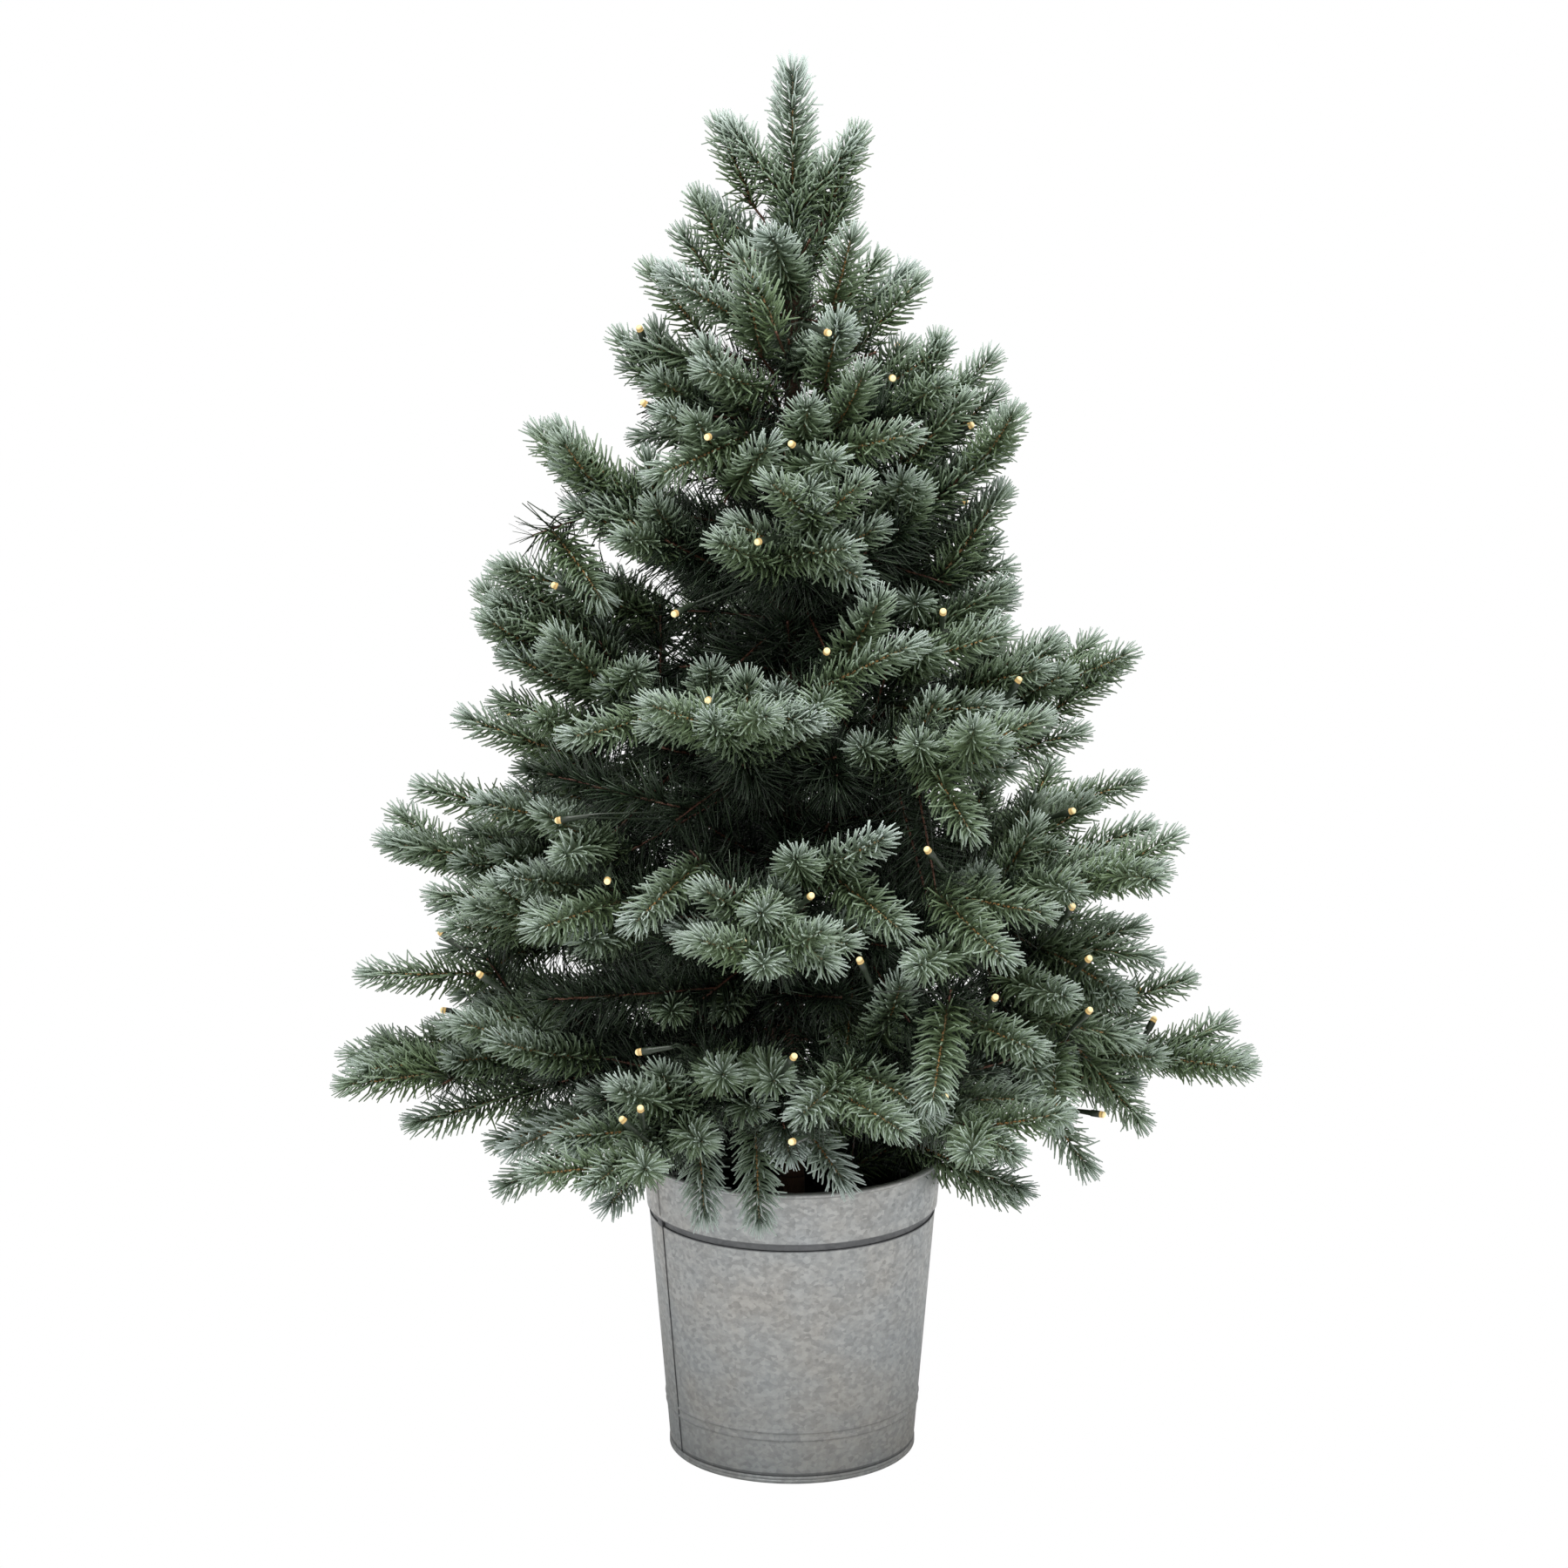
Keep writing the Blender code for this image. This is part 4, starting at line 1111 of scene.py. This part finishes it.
# Sprigs seen full on at the front, tier by tier: the end (x, y, z), which way it heads and its rise
OVER_THE_RIM = [
    (-0.02, -0.14, 0.185, -85, -60),
    (-0.05, -0.14, 0.190, -75, -60),
    (0.04, -0.15, 0.220, -50, -30),
    (-0.08, -0.14, 0.235, -110, -35),
    (0.00, -0.15, 0.235, -80, -25),
    (-0.12, -0.16, 0.215, -125, -15),
    (-0.18, -0.12, 0.225, -145, -20),
    (-0.14, -0.18, 0.245, -130, -10),
]
AT_THE_FRONT = [
    (0.16, -0.19, 0.275, -90, -15),
    (0.07, -0.26, 0.290, -55, -5),
    (0.00, -0.25, 0.295, -115, -5),
    (-0.11, -0.22, 0.295, -120, 15),
    (0.08, -0.25, 0.300, -100, -30),
    (0.09, -0.23, 0.300, -50, 0),
    (-0.19, -0.14, 0.300, -140, 10),
    (-0.04, -0.23, 0.315, -85, 15),
    (-0.01, -0.24, 0.315, -85, 10),
    (0.15, -0.21, 0.320, -55, -5),
    (0.21, -0.09, 0.320, -55, 0),
    (-0.21, -0.13, 0.325, -145, 25),
    (0.17, -0.16, 0.335, -65, 0),
    (0.07, -0.20, 0.350, -75, 30),
    # second tier
    (-0.22, -0.08, 0.365, -150, 5),
    (-0.13, -0.16, 0.370, -110, 0),
    (0.13, -0.22, 0.375, -60, -20),
    (0.07, -0.23, 0.385, -110, 10),
    (0.03, -0.25, 0.390, -45, -15),
    (-0.16, -0.19, 0.395, -130, 0),
    (0.07, -0.21, 0.395, -55, -15),
    (0.16, -0.17, 0.395, -30, -5),
    (-0.19, -0.12, 0.400, -130, 25),
    (-0.10, -0.21, 0.405, -120, -10),
    (-0.18, -0.12, 0.410, -135, 15),
    (-0.02, -0.25, 0.415, -95, 10),
    (-0.06, -0.22, 0.425, -130, 25),
    (0.00, -0.21, 0.435, -95, 15),
    (-0.14, -0.16, 0.435, -105, 10),
    (0.11, -0.19, 0.445, -65, -30),
    (-0.16, -0.13, 0.450, -135, 25),
    (0.06, -0.19, 0.455, -45, 30),
    (0.14, -0.13, 0.470, -25, -10),
    # third tier
    (-0.14, -0.14, 0.490, -135, -10),
    (0.13, -0.09, 0.500, -35, 0),
    (-0.09, -0.16, 0.520, -130, 15),
    (0.02, -0.18, 0.520, -40, 5),
    (-0.05, -0.19, 0.520, -90, 5),
    (-0.19, -0.02, 0.525, -165, 20),
    (0.01, -0.18, 0.530, -100, 10),
    (-0.01, -0.14, 0.535, -90, 25),
    (-0.05, -0.12, 0.540, -90, 30),
    (0.14, -0.08, 0.550, -20, 15),
    (-0.19, -0.02, 0.565, -130, 20),
    (0.08, -0.14, 0.565, -20, 30),
    (-0.11, -0.06, 0.570, -55, -25),
    (0.14, -0.01, 0.575, -35, 35),
    (-0.19, -0.02, 0.580, -150, 15),
    (0.06, -0.14, 0.580, -60, 35),
    (0.05, -0.13, 0.605, -45, 0),
    (0.12, -0.01, 0.610, -55, 20),
    # fourth tier
    (0.04, -0.14, 0.620, -45, 15),
    (-0.05, -0.14, 0.620, -125, 20),
    (0.01, -0.14, 0.635, -90, -10),
    (0.14, -0.01, 0.635, 10, 50),
    (-0.13, -0.01, 0.640, -120, 20),
    (-0.09, -0.10, 0.645, -145, -20),
    (0.07, -0.08, 0.650, -75, 30),
    (0.12, -0.01, 0.655, -35, 30),
    (0.03, -0.13, 0.665, -65, 10),
    (-0.01, -0.11, 0.675, -65, 30),
    (0.08, -0.10, 0.680, -35, 15),
    (-0.08, -0.07, 0.700, -125, 35),
    # under the leader
    (-0.06, -0.09, 0.720, -135, 20),
    (0.10, -0.01, 0.725, -25, 35),
    (-0.06, -0.09, 0.695, -110, 40),
    (0.01, -0.10, 0.705, -85, 40),
    (0.05, -0.09, 0.715, -60, 40),
    (-0.06, -0.08, 0.730, -125, 40),
    (0.03, -0.08, 0.750, -75, 50),
    (-0.03, -0.07, 0.775, -110, 60),
    (-0.03, -0.06, 0.795, 160, 70),
    (0.04, -0.05, 0.800, -60, 60),
]
# Strip-needled twigs without a moulded end that show between them (x, y, z, heading, rise, length)
BARE_TWIGS = [
    (-0.150, -0.140, 0.335, -160, 0, 0.110),
    (-0.115, -0.150, 0.275, -165, 0, 0.085),
    (-0.010, -0.165, 0.390, -80, 5, 0.080),
    (-0.150, -0.110, 0.470, 175, 12, 0.090),
    (0.070, -0.170, 0.330, -70, -20, 0.090),
    (-0.030, -0.130, 0.480, -100, 20, 0.075),
    (0.030, -0.150, 0.340, -60, 10, 0.080),
    (-0.070, -0.150, 0.390, -130, 10, 0.090),
]
RIM_TIER = 0.25  # the sprigs below this height are the most frosted
FRONT_FROM, FRONT_TO = -152, -28  # azimuths between which only the list above places them


def heading_to(azimuth, rise):
    """Unit vector that heads to this azimuth and rises by these degrees."""
    return np.array(around(azimuth, math.cos(math.radians(rise)), math.sin(math.radians(rise))))


KNOT_BEHIND = 0.028  # a twig is bound to its branch this far short of its own sprig
KNOT_FROM, KNOT_TO = 0.12, 0.80  # shares of the branch that twigs are bound to
LEADER_KNOTS = (0.30, 0.86)


class Twig:
    """A moulded sprig and the strip-needled stalk that carries it, bound to a branch or to the leader.

    beside holds (yaw, share of its length) of the sprigs that leave its foot.
    """

    def __init__(self, tip, azimuth, rise, length, tone, bend, beside=(), moulded=True):
        self.direction = heading_to(azimuth, rise)
        self.length, self.tone, self.bend, self.beside, self.moulded = length, tone, bend, beside, moulded
        self.start = np.asarray(tip, float) - self.direction * length
        self.holder = None
        self.knot = np.array([0, 0, min(max(self.start[2] - 0.03, LEADER_KNOTS[0]), LEADER_KNOTS[1])])
        nearest = math.inf
        if self.start[2] >= LEADER_ZONE - 0.06:
            nearest = math.hypot(self.start[0], self.start[1]) + 0.004
        for branch in branches:
            along = float((self.start - branch.pivot) @ branch.axes[0]) - KNOT_BEHIND
            along = min(max(along, branch.length * KNOT_FROM), branch.length * KNOT_TO)
            knot = branch.place((along, 0, 0))
            gap = float(np.linalg.norm(self.start - knot))
            if gap < nearest and tip[2] < LEADER_ZONE + 0.02:
                nearest, self.holder, self.knot = gap, branch, knot


def fullness(azimuth, height):
    """How far from the axis the tips reach."""
    heights = [row[0] for row in FULLNESS]
    left, right, front = (np.interp(height, heights, [row[i] for row in FULLNESS]) for i in (1, 2, 3))
    across = math.cos(math.radians(azimuth))
    side = right if across > 0 else left
    return float(side * across**2 + front * (1 - across**2))


def at_height(table, height):
    """The second column of a table, read at this height."""
    return float(np.interp(height, [row[0] for row in table], [row[1] for row in table]))


def bound_twigs():
    """All the twigs: over the cone, at either side, at the front, the bare ones and the inner ones."""
    rng = np.random.default_rng(21)
    heights = np.linspace(FILL_LOW, FILL_HIGH, 300)
    room_at = np.cumsum([fullness(-90, height) + 0.02 for height in heights])
    found = []
    for i in range(FILL_COUNT):
        height = float(np.interp((i + 0.5) / FILL_COUNT * room_at[-1], room_at, heights))
        azimuth = (i * GOLDEN_ANGLE + 180) % 360 - 180
        if FRONT_FROM < azimuth < FRONT_TO:
            continue
        rise = at_height(RISE, height) + rng.normal(0, 12)
        tip = np.array(around(azimuth, fullness(azimuth, height) * rng.uniform(0.86, 1.0), height))
        length = at_height(SPRIG_LENGTHS, height) * rng.uniform(0.9, 1.06)
        spread = rng.uniform(44, 68)
        beside = []
        if height < 0.66:
            beside = [(yaw, rng.uniform(0.8, 0.95)) for yaw in (spread, -spread)]
        heading = azimuth + rng.normal(0, 16)
        found.append(Twig(tip, heading, rise, length, rng.normal(0.0, 0.05), rng.normal(0, 0.2), beside))
    for x, y, z, rise in STANDING_OUT:
        azimuth = math.degrees(math.atan2(y, x))
        length = at_height(SPRIG_LENGTHS, z)
        found.append(Twig((x, y, z), azimuth, rise, length, rng.normal(0.03, 0.03), 0.03))
    for x, y, z, heading, rise in OVER_THE_RIM + AT_THE_FRONT:
        length = at_height(SPRIG_LENGTHS, z) * rng.uniform(0.94, 1.04)
        tone = rng.normal(0.26 if z < RIM_TIER else 0.05, 0.05)
        found.append(Twig((x, y, z), heading, rise, length, tone, rng.normal(0, 0.18)))
    for x, y, z, heading, rise, length in BARE_TWIGS:
        found.append(Twig((x, y, z), heading, rise, length, 0.0, 0.05, moulded=False))
    for i in range(INNER_COUNT):
        height = FILL_LOW + 0.03 + (FILL_HIGH - FILL_LOW - 0.12) * ((i * 0.618) % 1) ** 1.25
        azimuth = i * GOLDEN_ANGLE
        tip = np.array(around(azimuth, fullness(azimuth, height) * rng.uniform(0.48, 0.70), height))
        rise = at_height(RISE, height) + rng.normal(0, 24)
        length = at_height(SPRIG_LENGTHS, height) * rng.uniform(0.7, 0.9)
        # A lowered tone for these inner twigs: painted shade deep inside the tree.
        found.append(Twig(tip, azimuth + rng.normal(0, 30), rise, length, rng.normal(-0.17, 0.04), 0.0))
    return found


twigs = bound_twigs()


def add_twig(sprigs, strips, rng, twig):
    """Adds a twig's sprigs to the one and its strip needles to the other."""
    if twig.moulded:
        moulded_sprig(sprigs, rng, twig.start, twig.direction, twig.length, twig.tone, twig.bend)
    else:
        strip_twig(strips, rng, twig.start, twig.direction, twig.length, twig.bend, 0.95, 1.5)
    axes = sprig_axes(twig.direction)
    for yaw, share in twig.beside:
        foot = twig.start + twig.direction * (0.012 if yaw > 0 else 0.003)
        direction = towards(yaw, rng.normal(2, 7)) @ axes
        moulded_sprig(sprigs, rng, foot, direction, twig.length * share, twig.tone, twig.bend)
    stalk = twig.start - twig.knot
    length = float(np.linalg.norm(stalk))
    reach = at_height(STRIP_REACH, twig.start[2])
    strip_twig(strips, rng, twig.knot, stalk / length, length + 0.012, 0.0, reach, 0.8)


SPINE_SHARE = 0.62  # of the branch, covered by the sprig at its end
INNER_YAW = 34  # of the two strip twigs beside the branch's root


for branch in branches:
    rng = np.random.default_rng(branch.seed)
    sprigs, strips = Growth(), Growth()
    length = branch.length
    spine = length * SPINE_SHARE
    foot = branch.place((length - spine, 0, 0))
    moulded_sprig(sprigs, rng, foot, branch.axes[0], spine, 0.03, rng.normal(0, 0.03))
    for start, yaw, lift, reach in side_sprigs(length):
        direction = towards(yaw, lift) @ branch.axes
        foot = branch.place((start, 0, 0))
        moulded_sprig(sprigs, rng, foot, direction, reach, 0.02, rng.normal(0.05, 0.16))
    density = 2.3 if branch.tier == 1 else 1.7
    foot = branch.place((length * 0.10, 0, 0))
    strip_twig(strips, rng, foot, branch.axes[0], length * 0.58, 0.0, 1.12, density)
    for yaw in (-INNER_YAW, INNER_YAW):
        direction = towards(yaw, 0) @ branch.axes
        foot = branch.place((length * 0.12, 0, 0))
        strip_twig(strips, rng, foot, direction, length * 0.46, 0.0, 1.05, 1.3)
    for twig in twigs:
        if twig.holder is branch:
            add_twig(sprigs, strips, rng, twig)
    foliage = sprigs.piece(branch.name + "_sprigs", [FROSTED, SPRIG_STEM])
    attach(foliage, branch.name)
    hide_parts(branch.name + "_foliage")
    inner = strips.piece(branch.name + "_strip_needles", [FILM, CORE_WIRE])
    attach(inner, branch.name)

# --- Leader -----------------------------------------------------------------------------------------
# The tree's tip: one upright sprig with side sprigs bound under it, over the top of the trunk.
leader_low, leader_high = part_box("leader")
LEADER_LENGTH = 0.125  # of the sprig at the very tip
# Share of the leader's height, azimuth, rise and length
LEADER_SPRIGS = [
    (0.53, 186, 55, 0.075),
    (0.50, -8, 53, 0.072),
    (0.31, 150, 42, 0.088),
    (0.34, 30, 50, 0.072),
    (0.10, 208, 30, 0.112),
    (0.07, 30, 28, 0.108),
    (0.04, -66, 25, 0.092),
    (0.27, -104, 44, 0.080),
    (0.14, 98, 34, 0.100),
    (0.40, 78, 50, 0.076),
]
rng = np.random.default_rng(7)
leader_foot = leader_low.z
tree_top = leader_high.z
sprigs = Growth()
upright = (0.0, 0.0, 1.0)
# The leader's sprigs get raised tones, lighter than the branches' sprigs: painted light on the top of the
# tree.
moulded_sprig(sprigs, rng, (0, 0, tree_top - LEADER_LENGTH), upright, LEADER_LENGTH, 0.24, 0.0, 0.0018)
moulded_sprig(sprigs, rng, (0, 0, leader_foot), upright, tree_top - leader_foot - 0.085, 0.14)
for share, azimuth, rise, length in LEADER_SPRIGS:
    start = (0, 0, leader_foot + share * (tree_top - leader_foot))
    bend = rng.normal(0.0, 0.16)
    moulded_sprig(sprigs, rng, start, heading_to(azimuth, rise), length, 0.20, bend, 0.0020)
strips = Growth()
for twig in twigs:
    if twig.holder is None:
        add_twig(sprigs, strips, rng, twig)
leader = sprigs.piece("leader_sprigs", [FROSTED, SPRIG_STEM])
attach(leader, "stand")
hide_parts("leader")

# Short strip twigs bound straight to the trunk, five at each height
TRUNK_TWIG_LENGTHS = [(0.29, 0.075), (0.60, 0.070), (0.70, 0.055), (0.80, 0.022)]
TRUNK_TWIG_REACH = [(0.55, 1.1), (0.80, 0.45)]
for height in np.arange(0.290, 0.80, 0.032):
    turn = height * 1500
    for number in range(5):
        direction = heading_to(turn + number * 72, 10 + 20 * math.sin(turn + number))
        start = direction * (0.004, 0.004, 0) + (0, 0, height)
        length = at_height(TRUNK_TWIG_LENGTHS, height)
        reach = at_height(TRUNK_TWIG_REACH, height)
        strip_twig(strips, rng, start, direction, length, rng.normal(0, 0.2), reach, 0.85)
inner = strips.piece("trunk_strip_needles", [FILM, CORE_WIRE])
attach(inner, "stand")

# --- Lamps ------------------------------------------------------------------------------------------
# Warm white lamps: a clear domed bulb in a slim green holder. A thin green wire leaves the lead on the
# trunk and follows the branch and its twigs out to each holder and back.
GREEN_WIRE = grained("green_wire", (0.024, 0.036, 0.020), (0.014, 0.022, 0.012), 0.4, 600, 0.2, 0.0001)
# Distance from the wire's end, and radius
HOLDER_PROFILE = [
    (0.0, 0.0010),
    (0.004, 0.0014),
    (0.0135, 0.0019),
    (0.0142, 0.0023),
    (0.0195, 0.0023),
    (0.0200, 0.0020),
]
HOLDER_LENGTH = HOLDER_PROFILE[-1][0]
BULB_RADIUS = 0.0022
BULB_LENGTH = 0.0046
BULB_SUNK = 0.0008  # into its holder
LAMP_WIRE_RADIUS = 0.00055
WIRE_ASIDE = 0.0025  # how far the wire lies above or below its twig
LEAD_AZIMUTH = 147
LEAD_FROM_AXIS = 0.0186
# Places of the lamps seen from the front
FRONT_LAMPS = [
    (0.00, -0.26, 0.285),
    (-0.10, -0.22, 0.285),
    (0.23, -0.02, 0.290),
    (-0.09, -0.23, 0.295),
    (0.09, -0.22, 0.300),
    (-0.09, -0.21, 0.325),
    (0.18, -0.14, 0.330),
    (0.00, -0.24, 0.330),
    (-0.19, -0.13, 0.350),
    (0.12, -0.20, 0.355),
    (0.18, -0.13, 0.360),
    (0.04, -0.21, 0.380),
    (0.17, -0.12, 0.390),
    (-0.03, -0.22, 0.395),
    (-0.11, -0.19, 0.425),
    (0.01, -0.23, 0.425),
    (0.08, -0.20, 0.445),
    (-0.14, -0.14, 0.450),
    (0.14, -0.04, 0.515),
    (-0.05, -0.17, 0.530),
    (0.02, -0.15, 0.555),
    (-0.07, -0.13, 0.575),
    (0.09, -0.13, 0.575),
    (-0.02, -0.14, 0.620),
    (0.00, -0.12, 0.675),
    (-0.05, -0.12, 0.680),
    (-0.09, -0.05, 0.690),
    (0.06, -0.08, 0.710),
    (0.02, -0.10, 0.740),
]
HIDDEN_LAMPS = 30  # at the sides and the back


def glowing():
    """Clear resin lit from within: amber at the holder and nearly white at the dome."""
    made = finish_of("warm_white_lamp", (0.34, 0.24, 0.10), 0.10)
    tree = made.node_tree
    shader = tree.nodes["Principled BSDF"]
    _, along, _ = map_position(tree)
    glow = ramp(
        tree,
        along,
        [
            (0.0, (0.05, 0.025, 0.008)),
            (0.30, (0.50, 0.34, 0.13)),
            (0.50, (0.14, 0.08, 0.025)),
            (0.72, (0.72, 0.58, 0.29)),
            (0.90, (1.0, 0.90, 0.55)),
            (0.97, (0.95, 0.80, 0.46)),
        ],
    )
    tree.links.new(glow, shader.inputs["Emission Color"])
    shader.inputs["Emission Strength"].default_value = 0.95
    return made


bpy.ops.mesh.primitive_circle_add(
    vertices=8, radius=HOLDER_PROFILE[0][1], fill_type="NGON", rotation=(0, math.pi / 2, 0)
)
holder = bpy.context.object
bpy.ops.object.transform_apply(rotation=True)
bpy.ops.object.mode_set(mode="EDIT")
bpy.ops.mesh.select_all(action="SELECT")
for (x, radius), (next_x, next_radius) in zip(HOLDER_PROFILE, HOLDER_PROFILE[1:]):
    bpy.ops.mesh.extrude_region_move(TRANSFORM_OT_translate={"value": (next_x - x, 0, 0)})
    wider = next_radius / radius
    bpy.ops.transform.resize(value=(1, wider, wider), center_override=(next_x, 0, 0))
bpy.ops.mesh.select_all(action="SELECT")
bpy.ops.mesh.normals_make_consistent(inside=False)
bpy.ops.object.mode_set(mode="OBJECT")
HOLDER = Pattern(holder, lambda p: p[:, 0] / HOLDER_LENGTH, lambda p: p[:, 1] / 0.0046 + 0.5)

bpy.ops.mesh.primitive_uv_sphere_add(
    segments=10, ring_count=8, radius=BULB_RADIUS, rotation=(0, math.pi / 2, 0)
)
bulb = bpy.context.object
bpy.ops.object.transform_apply(rotation=True)
for vertex in bulb.data.vertices:
    if vertex.co.x < 0.0001:
        vertex.co.x = vertex.co.x * 0.3 - (BULB_LENGTH - BULB_RADIUS * 1.3)
    vertex.co.x += BULB_LENGTH - BULB_RADIUS
BULB = Pattern(bulb, lambda p: np.clip(p[:, 0] / BULB_LENGTH, 0, 1), lambda p: p[:, 1] / 0.005 + 0.5)
LAMP_GLOW = glowing()


class Lamp:
    """A lamp whose bulb is at this place, clipped to the nearest twig."""

    def __init__(self, rng, place):
        self.bulb = np.asarray(place, float)
        azimuth = math.degrees(math.atan2(place[1], place[0])) + rng.normal(0, 35)
        self.direction = heading_to(azimuth, rng.uniform(-15, 60))
        self.foot = self.bulb - self.direction * HOLDER_LENGTH
        self.twig = min(twigs, key=lambda t: np.linalg.norm(t.start + t.direction * 0.02 - self.foot))
        self.holder = self.twig.holder
        self.along = 0.0
        if self.holder is not None:
            self.along = float((self.twig.knot - self.holder.pivot) @ self.holder.axes[0])

    def route(self, back):
        """The wire out along the twig to the holder, and back again if more lamps follow."""
        aside = np.array([0, 0, WIRE_ASIDE])
        knot, start = self.twig.knot, self.twig.start
        line = [knot + aside, start + aside]
        line += [self.foot - self.direction * 0.004, self.foot + self.direction * 0.0006]
        if back:
            line += [self.foot - self.direction * 0.005 - aside, start - aside, knot - aside]
        return line


def placed_lamps():
    """The lamps at the front as listed, then the others spread evenly round the rest of the tree."""
    rng = np.random.default_rng(9)
    found = [Lamp(rng, place) for place in FRONT_LAMPS]
    for i in range(HIDDEN_LAMPS):
        azimuth = -20 + (i * 0.618 % 1) * 220
        height = 0.24 + 0.50 * ((i + 0.5) / HIDDEN_LAMPS) ** 1.2
        found.append(Lamp(rng, around(azimuth, fullness(azimuth, height) * 0.86, height)))
    return found


def along_curve(points, steps=5):
    """A smooth line through the points."""
    points = [np.asarray(point, float) for point in points]
    points = [2 * points[0] - points[1]] + points + [2 * points[-1] - points[-2]]
    line = []
    for p, q, r, t in zip(points, points[1:], points[2:], points[3:]):
        for i in range(steps):
            u = i / steps
            turning = (2 * p - 5 * q + 4 * r - t) * u**2 + (3 * q - p - 3 * r + t) * u**3
            line.append(0.5 * (2 * q + (r - p) * u + turning))
    return line + [points[-2]]


def lamps_on(body, name, held):
    """Bulbs and holders of one body, as two pieces."""
    bulbs, holders = Growth(), Growth()
    for lamp in held:
        axes = sprig_axes(lamp.direction)
        socket = lamp.foot + HOLDER.points @ axes
        bulb = lamp.bulb - lamp.direction * BULB_SUNK + BULB.points @ axes
        holders.add(HOLDER, socket[None], np.array([0.5]), 0, ACROSS_STEM)
        bulbs.add(BULB, bulb[None], np.array([0.5]), 0, ACROSS_STEM)
    glow = bulbs.piece(name + "_lamps", [LAMP_GLOW])
    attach(glow, body)
    sockets = holders.piece(name + "_lamp_holders", [GREEN_WIRE])
    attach(sockets, body)


def round_the_trunk(azimuth, height, radius):
    """From the lead on the trunk, round it to this azimuth."""
    turn = (azimuth - LEAD_AZIMUTH + 180) % 360 - 180
    steps = max(2, int(abs(turn) / 24))
    return [around(LEAD_AZIMUTH + turn * i / steps, radius, height) for i in range(steps + 1)]


lamps = placed_lamps()
for branch in branches:
    held = [lamp for lamp in lamps if lamp.holder is branch]
    held.sort(key=lambda lamp: lamp.along)
    if not held:
        continue
    lamps_on(branch.name, branch.name, held)
    route = round_the_trunk(branch.azimuth, branch.pivot[2] + 0.006, LEAD_FROM_AXIS + 0.0024)
    route.append(branch.place((0.016, 0, 0.004)))
    for lamp in held:
        route += lamp.route(lamp is not held[-1])
    wire = tube_object(branch.name + "_lamp_wire", [along_curve(route)], LAMP_WIRE_RADIUS)
    wire.data.materials.append(GREEN_WIRE)
    branch.place((0, 0, 0))
    branch.place((0.014, 0, 0))
    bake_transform(wire)

held = [lamp for lamp in lamps if lamp.holder is None]
held.sort(key=lambda lamp: lamp.bulb[2])
lamps_on("stand", "leader", held)
route = [around(LEAD_AZIMUTH, LEAD_FROM_AXIS, LEADER_ZONE - 0.05)]
for lamp in held:
    route += lamp.route(lamp is not held[-1])
wire = tube_object("leader_lamp_wire", [along_curve(route)], LAMP_WIRE_RADIUS)
wire.data.materials.append(GREEN_WIRE)
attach(wire, "stand")

# --- Battery box ------------------------------------------------------------------------------------
# A box for three cells stands in the bucket behind the trunk, with a sliding cover and a small switch.
GREEN_PLASTIC = grained("green_plastic", (0.022, 0.062, 0.034), (0.016, 0.048, 0.026), 0.45, 700, 0.25, 1e-4)
BLACK_PLASTIC = grained("black_plastic", (0.016, 0.016, 0.016), (0.010, 0.010, 0.010), 0.4, 700, 0.25, 0.0001)
NICKEL = grained("nickel", (0.58, 0.56, 0.52), (0.46, 0.44, 0.41), 0.3, 500, 0.15, 0.0001, 1.0)
SLEEVE = grained("cell_sleeve", (0.06, 0.06, 0.07), (0.04, 0.04, 0.05), 0.3, 200, 0.1, 0.0001)
plain_piece("battery_case", GREEN_PLASTIC)
plain_piece("battery_cover", GREEN_PLASTIC)
plain_piece("switch_slider", BLACK_PLASTIC)
plain_piece("contacts_low", NICKEL)
plain_piece("contacts_high", NICKEL)
plain_piece("lamp_lead", GREEN_WIRE)
for cell in ("cell_left", "cell_middle", "cell_right"):
    plain_piece(cell, SLEEVE)
